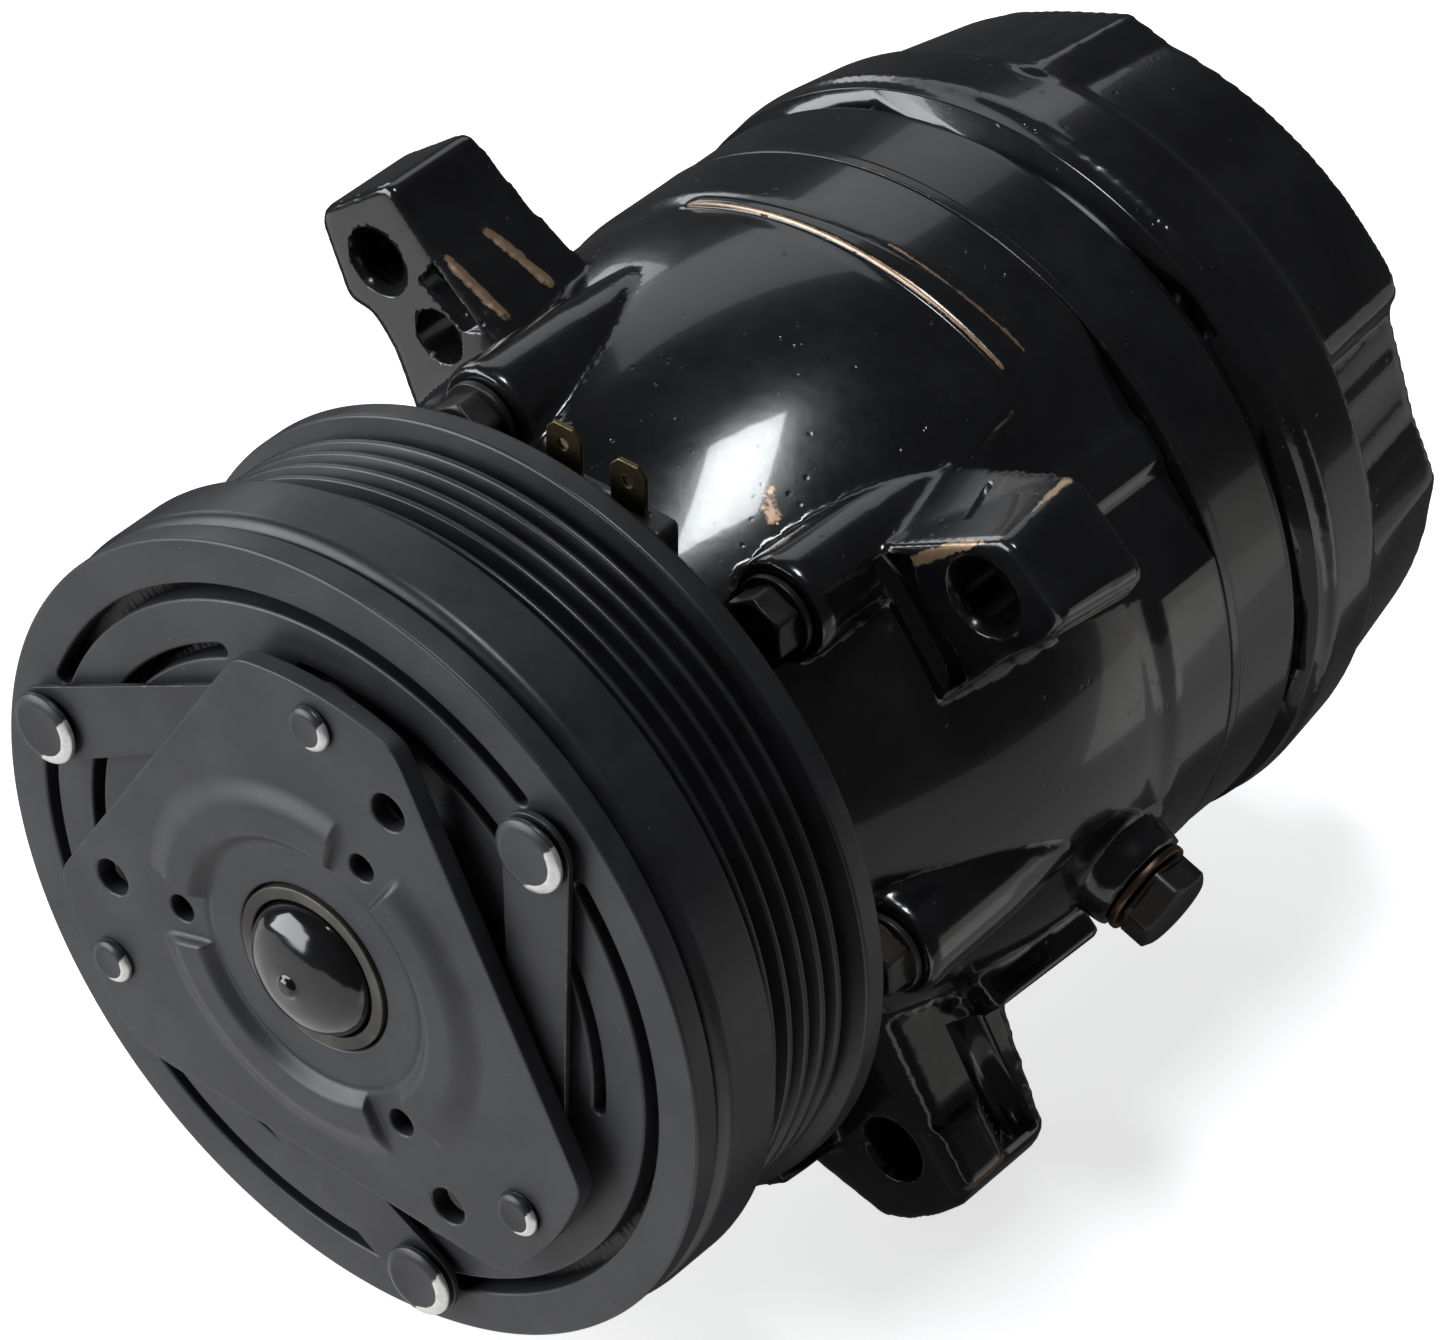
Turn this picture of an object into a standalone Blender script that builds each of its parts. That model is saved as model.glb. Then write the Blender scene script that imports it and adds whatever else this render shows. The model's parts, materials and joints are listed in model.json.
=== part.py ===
"""Piston compressor for a vehicle air conditioner, with its electromagnetic clutch.

The shaft lies along Y with the clutch at the front (-Y), +Z is up and +X is to the
right seen from the front.  The origin is the centre of the six-groove belt track.
Stations s run rearwards in millimetres from the front face of the armature plate,
radii are in millimetres, and angles turn from +X towards +Z.
"""

import math

import bmesh
import bpy
from mathutils import Matrix, Vector

MM = 0.001

# Clutch
BELT_S = 27.3            # station of the belt-track centre
RIM_R = 65.0             # plain ring in front of the grooves
PULLEY_R = 64.0
CREST_R = 61.9
VALLEY_R = 59.3
GROOVE_PITCH = 3.56
GROOVE_COUNT = 6
FIRST_VALLEY_S = 17.9
ROTOR_FRONT_S = 5.0
ROTOR_REAR_S = 41.5
ARMATURE_R = 64.5
ARMATURE_BORE_R = 33.0
ARMATURE_T = 4.4
RIVET_ANGLES = (46.0, 166.0, 286.0)
RIVET_R = 55.0
LEAF_SWEEP = -78.5
HUB_RIVET_R = 44.5
HUB_INRADIUS = 36.9
HUB_CORNER_R = 50.5
HUB_FRONT_S = -6.0
HUB_T = 3.0
NOSE_R = 17.5

# Body
BOLT_CIRCLE_R = 54.3
BOLT_ANGLES = (52.0, 112.0, 172.0, 232.0, 292.0, 352.0)
BOLT_SEAT_S = 55.0
HEAD_REAR_S = 124.2
FLANGE_REAR_S = 140.4
BLOCK_REAR_S = 144.0
BAND_FRONT_S = 144.4
BODY_R = 62.1
BAND_R = 63.3
REAR_FACE_S = 184.0
CONTROL_R = 45.2         # circle of the control valve
CHAMBER_R = 49.7
EAR_FRONT_S = 70.0
EAR_TIP_REAR_S = 87.0
EAR_HOLE_R = 76.2
PLATFORM_R = 59.0        # flat behind the right ear, from the shaft line
PLUG_ANGLE = -20.0
PLUG_S = 103.5

# Mechanism
PISTON_ANGLES = (90.0, 162.0, 234.0, 306.0, 18.0)
PISTON_PITCH_R = 31.0
BORE_R = 15.5
WOBBLE_S = 84.0
GUIDE_Z = -41.0
SHAFT_R = 8.0

MATERIALS = {
    "head_paint": ((0.012, 0.012, 0.014), 0.22, 0.0),
    "block_paint": ((0.012, 0.012, 0.014), 0.30, 0.0),
    "clutch_paint": ((0.025, 0.025, 0.028), 0.48, 0.0),
    "pulley_paint": ((0.020, 0.020, 0.023), 0.42, 0.0),
    "bolt_steel": ((0.05, 0.05, 0.052), 0.40, 1.0),
    "rivet_steel": ((0.10, 0.10, 0.11), 0.38, 1.0),
    "spring_steel": ((0.07, 0.07, 0.075), 0.42, 1.0),
    "shaft_steel": ((0.55, 0.55, 0.56), 0.28, 1.0),
    "bearing_steel": ((0.60, 0.60, 0.61), 0.20, 1.0),
    "piston_aluminium": ((0.62, 0.62, 0.64), 0.32, 1.0),
    "valve_steel": ((0.45, 0.46, 0.48), 0.35, 1.0),
    "seal_rubber": ((0.015, 0.015, 0.015), 0.75, 0.0),
    "coil_resin": ((0.03, 0.03, 0.03), 0.55, 0.0),
    "terminal_brass": ((0.55, 0.40, 0.18), 0.35, 1.0),
    "cap_plastic": ((0.012, 0.012, 0.013), 0.12, 0.0),
}


def polar(radius, degrees):
    """Return (x, z) of a point at a radius and an angle."""
    turn = math.radians(degrees)
    return radius * math.cos(turn), radius * math.sin(turn)


def place(x, s, z):
    """Return the world point in metres of x, station s and z in millimetres."""
    return Vector((x * MM, (s - BELT_S) * MM, z * MM))


def on_ear(angle, radial, tangential):
    """Return (x, z) of a point given along and across an ear's own radius."""
    turn = math.radians(angle)
    cos, sin = math.cos(turn), math.sin(turn)
    return radial * cos - tangential * sin, radial * sin + tangential * cos


def make(name, verts, faces):
    """Make a closed mesh object with outward normals."""
    mesh = bpy.data.meshes.new(name)
    mesh.from_pydata([tuple(v) for v in verts], [], faces)
    work = bmesh.new()
    work.from_mesh(mesh)
    bmesh.ops.recalc_face_normals(work, faces=work.faces)
    work.to_mesh(mesh)
    work.free()
    item = bpy.data.objects.new(name, mesh)
    bpy.context.scene.collection.objects.link(item)
    return item


def lathe(name, profile, seg=48, centre=(0.0, 0.0), phase=0.0):
    """Turn a closed (s, r) loop about the shaft direction; r 0 closes an end."""
    verts = []
    rings = []
    for i, (s, r) in enumerate(profile):
        if r <= 0:
            beside = (profile[i - 1], profile[(i + 1) % len(profile)])
            flat = any(b[1] > 0 and abs(b[0] - s) < 1e-6 for b in beside)
            if flat:
                rings.append(None)
                continue
            rings.append([len(verts)] * seg)
            verts.append(place(centre[0], s, centre[1]))
            continue
        ring = []
        for k in range(seg):
            x, z = polar(r, phase + 360.0 * k / seg)
            ring.append(len(verts))
            verts.append(place(centre[0] + x, s, centre[1] + z))
        rings.append(ring)
    faces = []
    for i in range(len(rings)):
        a, b = rings[i], rings[(i + 1) % len(rings)]
        if a is None and b is None:
            continue
        if a is None or b is None:
            cap = list(a or b)
            if cap[0] != cap[-1]:
                faces.append(cap)
            continue
        if a[0] == a[-1] and b[0] == b[-1]:
            continue
        for k in range(seg):
            n = (k + 1) % seg
            face = []
            for index in (a[k], a[n], b[n], b[k]):
                if index not in face:
                    face.append(index)
            faces.append(face)
    return make(name, verts, faces)


def rod(name, s0, s1, r, seg=16, centre=(0.0, 0.0), phase=0.0):
    """Make a plain solid cylinder along the shaft direction."""
    return lathe(name, [(s0, 0), (s0, r), (s1, r), (s1, 0)], seg, centre, phase)


def loft(name, front, rear):
    """Join two outlines of (x, s, z) points that run the same way round."""
    count = len(front)
    verts = [place(*p) for p in front] + [place(*p) for p in rear]
    faces = [list(range(count)), list(range(2 * count - 1, count - 1, -1))]
    for k in range(count):
        n = (k + 1) % count
        faces.append([k, n, count + n, count + k])
    return make(name, verts, faces)


def prism(name, outline, s0, s1):
    """Extrude an (x, z) outline between two stations."""
    return loft(name, [(x, s0, z) for x, z in outline], [(x, s1, z) for x, z in outline])


def box(name, x0, x1, s0, s1, z0, z1):
    """Make a block from its limits."""
    return prism(name, [(x0, z0), (x1, z0), (x1, z1), (x0, z1)], s0, s1)


def spoke(name, angle, s, r0, r1, radius, seg=20, phase=0.0):
    """Make a cylinder that points out along a radius of the shaft."""
    out = Vector((math.cos(math.radians(angle)), 0, math.sin(math.radians(angle))))
    side = Vector((0, 1, 0))
    up = out.cross(side)
    verts = []
    for reach in (r0, r1):
        for k in range(seg):
            turn = math.radians(phase) + 2 * math.pi * k / seg
            at = out * reach + (side * math.cos(turn) + up * math.sin(turn)) * radius
            verts.append(place(at.x, s + at.y, at.z))
    faces = [list(range(seg)), list(range(2 * seg - 1, seg - 1, -1))]
    for k in range(seg):
        n = (k + 1) % seg
        faces.append([k, n, seg + n, seg + k])
    return make(name, verts, faces)


def arc_slot(name, r0, r1, a0, a1, s0, s1, steps=10):
    """Make a cutter for a curved slot between two radii and two angles."""
    outer = [polar(r1, a0 + (a1 - a0) * k / steps) for k in range(steps + 1)]
    inner = [polar(r0, a1 + (a0 - a1) * k / steps) for k in range(steps + 1)]
    return prism(name, outer + inner, s0, s1)


def combine(target, tool, operation):
    """Apply one exact Boolean to the target and remove the tool."""
    tool.hide_render = True
    tool.display_type = "WIRE"
    step = target.modifiers.new("step", "BOOLEAN")
    step.operation = operation
    step.solver = "EXACT"
    step.object = tool
    bpy.context.view_layer.update()
    graph = bpy.context.evaluated_depsgraph_get()
    done = bpy.data.meshes.new_from_object(target.evaluated_get(graph))
    target.modifiers.clear()
    old = target.data
    target.data = done
    bpy.data.meshes.remove(old)
    spare = tool.data
    bpy.data.objects.remove(tool)
    bpy.data.meshes.remove(spare)
    return target


def cut(target, *tools):
    """Cut every tool away from the target."""
    for tool in tools:
        combine(target, tool, "DIFFERENCE")
    return target


def fuse(target, *tools):
    """Join every tool to the target."""
    for tool in tools:
        combine(target, tool, "UNION")
    return target


def finish(item, material, weld=0.00002):
    """Clean the mesh, name it after its object and give it its material."""
    work = bmesh.new()
    work.from_mesh(item.data)
    bmesh.ops.remove_doubles(work, verts=work.verts, dist=weld)
    bmesh.ops.dissolve_degenerate(work, edges=work.edges, dist=weld)
    bmesh.ops.triangulate(work, faces=[f for f in work.faces if len(f.verts) > 4])
    bmesh.ops.recalc_face_normals(work, faces=work.faces)
    work.to_mesh(item.data)
    work.free()
    item.data.name = item.name
    item.data.materials.clear()
    item.data.materials.append(bpy.data.materials[material])
    return item


def make_materials():
    """Make one Principled material for each finish."""
    for name, (colour, rough, metal) in MATERIALS.items():
        material = bpy.data.materials.new(name)
        material.use_nodes = True
        shader = material.node_tree.nodes["Principled BSDF"]
        shader.inputs["Base Color"].default_value = (*colour, 1.0)
        shader.inputs["Roughness"].default_value = rough
        shader.inputs["Metallic"].default_value = metal


def set_origin(item, point):
    """Move an object's origin to a world point and leave its surface in place."""
    item.data.transform(Matrix.Translation(-point))
    item.location = point


# Clutch

def make_pulley():
    """Pulley and rotor: friction web, grooved rim and bearing seat in one turning."""
    profile = [(ROTOR_FRONT_S, 27.9), (ROTOR_FRONT_S, 63.4), (6.4, RIM_R)]
    profile += [(16.3, RIM_R)]
    for k in range(GROOVE_COUNT):
        valley = FIRST_VALLEY_S + GROOVE_PITCH * k
        if k:
            profile.append((valley - 1.38, CREST_R))
        profile += [(valley - 0.5, VALLEY_R), (valley + 0.5, VALLEY_R)]
        if k < GROOVE_COUNT - 1:
            profile.append((valley + 1.38, CREST_R))
    profile += [(37.3, PULLEY_R), (40.9, PULLEY_R), (ROTOR_REAR_S, 63.3)]
    profile += [(ROTOR_REAR_S, 55.3), (11.0, 55.3), (9.2, 53.5), (9.2, 33.8)]
    profile += [(33.6, 33.8), (33.6, 27.9)]
    pulley = lathe("pulley_rotor", profile, 36, phase=1.3)
    for k in range(4):
        slot = arc_slot("cutter", 46.6, 48.8, 90 * k + 8, 90 * k + 82, 4, 10, 5)
        cut(pulley, slot)
    return finish(pulley, "pulley_paint")


def make_armature():
    """Armature plate with its two rows of curved slots and three rivet holes."""
    profile = [(0, ARMATURE_BORE_R), (0, 62.0), (1.2, ARMATURE_R)]
    profile += [(ARMATURE_T, ARMATURE_R), (ARMATURE_T, ARMATURE_BORE_R)]
    plate = lathe("armature_plate", profile, 36, phase=2.1)
    spans = ((53.0, 158.0), (175.5, 274.0), (290.0, 398.0))
    for (a0, a1), centre in zip(spans, RIVET_ANGLES):
        x, z = polar(RIVET_R, centre)
        cut(
            plate,
            arc_slot("cutter", 55.1, 57.4, a0, a1, -1, 6, 7),
            arc_slot("cutter", 45.9, 48.0, centre - 50, centre + 50, -1, 6, 6),
            rod("cutter", -1, 6, 3.3, 10, (x, z), 5),
        )
    finish(plate, "clutch_paint")
    for k, angle in enumerate(RIVET_ANGLES):
        at = polar(RIVET_R, angle)
        head = [(-4.3, 0), (-4.3, 4.3), (-3.5, 5.75), (-3.1, 5.75), (-3.1, 3.0)]
        head += [(4.2, 3.0), (4.2, 0)]
        rivet = lathe("armature_rivet_%d" % (k + 1), head, 12, at)
        finish(rivet, "rivet_steel")


def hub_outline():
    """Outline of the triangular hub plate: three flats and three rounded corners."""
    points = []
    for k in range(3):
        normal = 27.5 + 120 * k
        swing = math.degrees(math.acos(HUB_INRADIUS / HUB_CORNER_R))
        first, last = normal + swing, normal + 120 - swing
        for j in range(5):
            points.append(polar(HUB_CORNER_R, first + (last - first) * j / 4))
    return points


def make_hub():
    """Hub plate, its sleeve, rivets, leaf springs, key, nut and dome cap."""
    plate = prism("hub_plate", hub_outline(), HUB_FRONT_S, HUB_FRONT_S + HUB_T)
    cut(plate, rod("cutter", -7, -2, 13.5, 24, phase=3.0))
    for k in range(3):
        pad = 67.3 + 120 * k
        fuse(plate, arc_slot("blank", 21.2, 29.6, pad + 11, pad + 109, -7.7, -5.4, 6))
        cut(
            plate,
            rod("cutter", -7, -2, 2.9, 10, polar(39.3, pad), 7),
            rod("cutter", -7, -2, 2.1, 8, polar(25.5, pad), 9),
            rod("cutter", -7, -2, 2.3, 8, polar(HUB_RIVET_R, RIVET_ANGLES[k] + LEAF_SWEEP), 4),
        )
    finish(plate, "clutch_paint")

    sleeve = lathe(
        "hub_sleeve",
        [(-6.5, 11.1), (-6.5, 13.2), (9.5, 13.2), (9.5, 7.9), (-1.0, 7.9), (-1.0, 11.1)],
        24,
        phase=2.0,
    )
    cut(sleeve, box("cutter", -1.8, 1.8, -0.4, 10.5, 5.0, 9.4))
    finish(sleeve, "bolt_steel")

    for k, angle in enumerate(RIVET_ANGLES):
        far = angle + LEAF_SWEEP
        at = polar(HUB_RIVET_R, far)
        head = [(-7.6, 0), (-7.6, 2.6), (-7.1, 3.5), (-6.3, 3.5), (-6.3, 2.0)]
        head += [(-0.8, 2.0), (-0.8, 0)]
        finish(lathe("hub_rivet_%d" % (k + 1), head, 10, at), "rivet_steel")
        make_leaf(k, polar(RIVET_R, angle), at)

    finish(box("shaft_key", -1.5, 1.5, 1.0, 9.0, 6.7, 9.1), "shaft_steel")
    nut = rod("shaft_nut", -6.6, -1.5, 8.6, 6)
    cut(nut, rod("cutter", -8, 0, 6.4, 14, phase=6.0))
    finish(nut, "bolt_steel")

    outside = [(-1.3, 10.75), (-6.6, 10.75), (-8.2, 9.9), (-9.7, 8.0), (-10.8, 5.3)]
    outside += [(-11.4, 2.4), (-12.0, 1.5), (-12.2, 0)]
    inside = [(-10.3, 0), (-9.9, 4.4), (-8.8, 7.2), (-7.4, 8.9), (-6.2, 9.6), (-1.3, 9.6)]
    finish(lathe("dome_cap", outside + inside, 14), "cap_plastic")


def make_leaf(index, outer, inner):
    """One tapered leaf spring from an armature rivet to a hub rivet."""
    start, end = Vector(outer), Vector(inner)
    along = (end - start).normalized()
    across = Vector((-along.y, along.x))
    points = []
    for k in range(7):
        turn = math.radians(90 + 180 * k / 6)
        points.append(start + (along * math.cos(turn) + across * math.sin(turn)) * 6.0)
    for k in range(7):
        turn = math.radians(-90 + 180 * k / 6)
        points.append(end + (along * math.cos(turn) + across * math.sin(turn)) * 4.4)
    outline = [(p.x, p.y) for p in points]
    leaf = prism("leaf_spring_%d" % (index + 1), outline, -2.2, -1.2)
    cut(
        leaf,
        rod("cutter", -3, 0, 3.5, 10, tuple(start), 3),
        rod("cutter", -3, 0, 2.4, 8, tuple(end), 3),
    )
    finish(leaf, "spring_steel")


def make_coil():
    """Field coil with its terminal tower and two blade terminals."""
    profile = [(11.5, 35.4), (11.5, 53.6), (37.4, 53.6), (39.0, 50.6), (42.0, 50.6)]
    profile += [(42.0, 27.4), (39.0, 27.4), (39.0, 35.4)]
    coil = lathe("clutch_coil", profile, 24, phase=2.6)
    fuse(
        coil,
        box("blank", -1.6, 19.6, 38.2, 44.0, 43.0, 50.0),
        box("blank", -3.6, 22.4, 42.4, 46.9, 42.2, 58.2),
    )
    for centre, top in ((3.3, 66.5), (14.9, 65.7)):
        cut(coil, box("cutter", centre - 3.5, centre + 3.5, 44.2, 45.8, 48.0, 60.0))
    finish(coil, "coil_resin")
    for k, (centre, top) in enumerate(((3.3, 66.5), (14.9, 65.7))):
        outline = [(centre - 3.1, 48.4), (centre + 3.1, 48.4), (centre + 3.1, top - 1.3)]
        outline += [(centre + 1.9, top), (centre - 1.9, top), (centre - 3.1, top - 1.3)]
        blade = prism("coil_terminal_%d" % (k + 1), outline, 44.6, 45.4)
        cut(blade, rod("cutter", 44, 46, 0.9, 12, (centre, top - 3.2)))
        finish(blade, "terminal_brass")


def make_bearings():
    """Pulley bearing, its rings, the shaft seal, needle and thrust bearings."""
    inner = [(12, 17.8), (12, 21.0), (18, 21.0), (20, 19.4), (24, 19.4), (26, 21.0)]
    inner += [(32, 21.0), (32, 17.8)]
    finish(lathe("bearing_inner_ring", inner, 18), "bearing_steel")
    outer = [(12, 27.5), (12, 24.3), (18, 24.3), (20, 25.9), (24, 25.9), (26, 24.3)]
    outer += [(32, 24.3), (32, 27.5)]
    finish(lathe("bearing_outer_ring", outer, 18), "bearing_steel")
    cage = [(18.6, 21.9), (18.6, 23.4), (25.4, 23.4), (25.4, 21.9)]
    balls = lathe("bearing_balls", cage, 18)
    for k in range(9):
        centre = polar(22.65, 40 * k + 5.7)
        ball = [(22 - 2.9, 0)]
        ball += [
            (22 - 2.9 * math.cos(math.radians(a)), 2.9 * math.sin(math.radians(a)))
            for a in (50, 130)
        ]
        ball += [(22 + 2.9, 0)]
        fuse(balls, lathe("blank", ball, 6, centre, 11.0))
    finish(balls, "bearing_steel")
    simple = (
        ("rotor_snap_ring", 10.2, 11.5, 24.2, 27.6, 24, "spring_steel"),
        ("nose_lock_ring", 10.1, 11.6, 17.8, 20.6, 20, "spring_steel"),
        ("shaft_seal", 16.0, 25.0, 8.3, 13.8, 18, "seal_rubber"),
        ("front_needle_bearing", 44.0, 56.6, 8.4, 12.4, 18, "bearing_steel"),
        ("rear_needle_bearing", 103.0, 116.0, 8.4, 11.9, 18, "bearing_steel"),
        ("thrust_bearing", 58.4, 60.2, 9.6, 19.5, 20, "bearing_steel"),
    )
    for name, s0, s1, r0, r1, seg, material in simple:
        ring = lathe(name, [(s0, r0), (s0, r1), (s1, r1), (s1, r0)], seg)
        finish(ring, material)


# Body

def ear(name, angle, outline, slope, flare=1.0):
    """One mounting ear: an outline across its radius, thicker towards its root."""
    front, rear = [], []
    for radial, tangential in outline:
        x, z = on_ear(angle, radial, tangential)
        front.append((x, EAR_FRONT_S, z))
        x, z = on_ear(angle, radial, tangential * flare)
        rear.append((x, EAR_TIP_REAR_S + (87.0 - radial) * slope, z))
    return loft(name, front, rear)


def rib(angle, near, far):
    """A tapering rib between two (station, r0, r1, t0, t1) sections."""
    sections = []
    for s, r0, r1, t0, t1 in (near, far):
        section = []
        for r, t in ((r0, t0), (r1, t0), (r1, t1), (r0, t1)):
            x, z = on_ear(angle, r, t)
            section.append((x, s, z))
        sections.append(section)
    return loft("blank", *sections)


def make_front_head():
    """Front head: nose, bell, bolt bosses, three ears, plug boss and crank chamber."""
    outside = [(9.0, 0), (9.0, 16.8), (9.7, NOSE_R), (35.6, NOSE_R), (35.6, 27.0)]
    outside += [(42.3, 27.0), (42.3, 44.5), (44.5, 47.0), (50, 48.4), (56, 50.2)]
    outside += [(62, 52.2), (70, 55.3), (80, 58.5), (90, 60.5), (100, 61.3)]
    outside += [(110.2, 61.4), (111.8, 62.3), (HEAD_REAR_S, BODY_R), (HEAD_REAR_S, 0)]
    head = lathe("front_head", outside, 44, phase=1.7)
    for angle in BOLT_ANGLES:
        taper = [(BOLT_SEAT_S, 0), (BOLT_SEAT_S, 7.8), (56.2, 8.2), (108.0, 6.4), (108.0, 0)]
        fuse(head, lathe("blank", taper, 14, polar(BOLT_CIRCLE_R, angle), angle + 4.3))
    upper = [(48, 14.5), (56.4, 13.2), (64, 10.3), (70, 10.0), (73.8, 13.2), (85.6, 8.6)]
    upper += [(87.2, 5.6), (85.2, -8.2), (83.9, -9.8), (72, -9.9), (60, -12.2), (48, -15)]
    right = [(48, 14.2), (56.3, 12.6), (84.0, 6.8), (85.3, 5.4), (87.6, -5.4), (86.6, -7.0)]
    right += [(82.2, -8.6), (71.3, -9.2), (60.4, -11.6), (48, -14.4)]
    lower = [(48, -24), (60, -22), (76.2, -19.4), (87.3, -9.8), (88.3, -5), (88.0, 1.2)]
    lower += [(86.5, 7.2), (84, 10.6), (72, 10.9), (60, 11.7), (48, 13)]
    fuse(
        head,
        ear("blank", 134.0, upper, 0.13),
        ear("blank", 40.0, right, 0.12, 1.24),
        ear("blank", -55.0, lower, 0.17),
        rib(-55.0, (57.0, 44, 74.0, -20.0, -10.6), (71.5, 44, 75.2, -20.4, -11.0)),
        rib(-55.0, (80.0, 50, 68.0, 5.2, 10.4), (113.0, 50, 62.8, 7.0, 11.0)),
        spoke("blank", PLUG_ANGLE, PLUG_S, 55.0, 66.4, 8.4, 16, 9),
    )
    flat = [(PLATFORM_R, -26), (80, -26), (80, 26), (PLATFORM_R, 26)]
    cut(head, prism("cutter", [on_ear(40.0, *p) for p in flat], 91.0, 126.0))
    bore = [(8, 0), (8, 14.2), (26, 14.2), (26, 10.5), (43, 10.5), (43, 12.8), (58, 12.8)]
    bore += [(58, 40.0), (63, 46.0), (68, CHAMBER_R), (127, CHAMBER_R), (127, 0)]
    cut(head, lathe("cutter", bore, 36, phase=3.9))
    for angle in BOLT_ANGLES:
        at = polar(BOLT_CIRCLE_R, angle)
        cut(head, rod("cutter", 44.6, BOLT_SEAT_S + 0.06, 7.2, 14, at, angle + 9.0))
        cut(head, rod("cutter", 50, 127, 3.45, 10, at, 5.1))
    pocket = [(70.8, -4.6), (71.6, -8.4), (64.6, -9.6), (59.8, -10.6), (61.4, -6.8)]
    cut(
        head,
        rod("cutter", 69, 96, 4.7, 14, on_ear(134.0, EAR_HOLE_R, 1.5), 3),
        rod("cutter", 69, 82, 4.3, 14, on_ear(134.0, 62.4, -1.2), 4),
        prism("cutter", [on_ear(134.0, *p) for p in pocket], 69, 72.6),
        rod("cutter", 69, 96, 5.6, 14, on_ear(40.0, 75.1, 0.2), 5),
        rod("cutter", 69, 96, 4.7, 14, on_ear(-55.0, 76.6, -0.5), 6),
        rod("cutter", 56, 69.5, 3.4, 10, on_ear(-55.0, 69.5, -15.6)),
        box("cutter", -4.6, 23.4, 41, 47.5, 41.0, 70.0),
        spoke("cutter", PLUG_ANGLE, PLUG_S, 45.0, 70.0, 4.3, 10, 4),
        rod("cutter", 54.5, 62, 2.9, 8, (0, GUIDE_Z), 5.0),
    )
    return finish(head, "head_paint")


def make_block():
    """Cylinder block: spigot, outer flange, dark groove, five bores and bolt holes."""
    outside = [(101.3, 0), (101.3, 49.4), (104, 49.4), (104, 47.9), (107, 47.9), (107, 49.4)]
    outside += [(124.5, 49.4), (124.5, BODY_R), (FLANGE_REAR_S, BODY_R), (FLANGE_REAR_S, 58.4)]
    outside += [(BLOCK_REAR_S, 58.4), (BLOCK_REAR_S, 0)]
    block = lathe("cylinder_block", outside, 44, phase=1.7)
    centre = [(100, 0), (100, 12.3), (118.5, 12.3), (118.5, 6.0), (146, 6.0), (146, 0)]
    cut(block, lathe("cutter", centre, 18, phase=2.2))
    for angle in PISTON_ANGLES:
        cut(block, rod("cutter", 100, 146, BORE_R + 0.1, 16, polar(PISTON_PITCH_R, angle), 4.4))
    for angle in BOLT_ANGLES:
        cut(block, rod("cutter", 122, 146, 3.45, 10, polar(BOLT_CIRCLE_R, angle), 5.1))
    cut(block, rod("cutter", 100, 106, 2.9, 8, (0, GUIDE_Z), 5.0))
    finish(block, "block_paint")
    ring = [(104.4, 48.2), (104.4, 49.4), (106.6, 49.4), (106.6, 48.2)]
    finish(lathe("body_o_ring", ring, 36), "seal_rubber")


def rear_outline():
    """Angle, radius beside the band and radius at the rear rim, all round the cover."""
    shape = [(36.5, 61.3, 57.4), (33.8, 60.2, 56.4), (31.0, 57.8, 53.4), (26.0, 57.2, 52.6)]
    shape += [(12.0, 57.2, 52.6), (7.5, 58.6, 54.0), (2.0, 60.6, 55.9)]
    shape += [(-4.0 - 9.2 * k, 61.0, 55.8) for k in range(24)]
    shape += [(-225.0, 61.0, 56.0), (-233.0, 60.8, 56.4), (-244.0, 60.7, 56.9)]
    shape += [(-254.0, 61.1, 57.3), (-262.0, 62.2, 58.6), (-266.0, 62.8, 59.6)]
    shape += [(-269.5, 62.0, 58.6), (-273.0, 61.3, 57.5)]
    shape += [(-282.0 - 9.0 * k, 61.3, 57.4) for k in range(5)]
    return shape


def make_rear_head():
    """Rear head: band, tapering lobed cover, chambers, ports and threaded holes."""
    band = [(BAND_FRONT_S, 0), (BAND_FRONT_S, 62.6), (147.8, 62.7), (148.2, BAND_R)]
    band += [(160.6, 61.7), (161.4, 60.9), (162.2, 57.0), (163.0, 54.0), (163.0, 0)]
    head = lathe("rear_head", band, 44, phase=1.7)
    front, rear = [], []
    for angle, wide, narrow in rear_outline():
        x, z = polar(wide, angle)
        front.append((x, 159.0, z))
        x, z = polar(narrow, angle)
        rear.append((x, REAR_FACE_S, z))
    fuse(head, loft("blank", front, rear))
    pad = []
    for centre_z, first in ((24.0, 0.0), (-40.0, 180.0)):
        for k in range(7):
            x, z = polar(15.0, first + 30 * k)
            pad.append((x, z + centre_z))
    fuse(head, prism("blank", pad, 182.5, 187.4))
    chambers = [
        lathe("cutter", [(142, 0), (142, 50.6), (149.6, 50.6), (149.6, 0)], 36, phase=2.3),
        rod("cutter", 148, 176.0, 25.5, 24, phase=1.1),
        lathe("cutter", [(148, 28.6), (148, 35.4), (174.0, 35.4), (174.0, 28.6)], 28, phase=4.2),
        rod("cutter", 170.0, 189.5, 8.5, 20, (0, 15.5), 3.3),
        rod("cutter", 170.0, 189.5, 7.2, 18, (0, -33.4), 4.3),
        rod("cutter", 178.5, 189.5, 4.2, 14, (0, -10.4), 5.3),
        rod("cutter", 162.5, 189.5, 8.4, 18, polar(CONTROL_R, 202), 6.3),
        rod("cutter", 171.5, 189.5, 4.3, 12, polar(45.5, -33), 2.3),
    ]
    cut(head, *chambers)
    for angle in BOLT_ANGLES:
        cut(head, rod("cutter", 142, 167, 3.45, 10, polar(BOLT_CIRCLE_R, angle), 5.1))
    finish(head, "head_paint")


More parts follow.
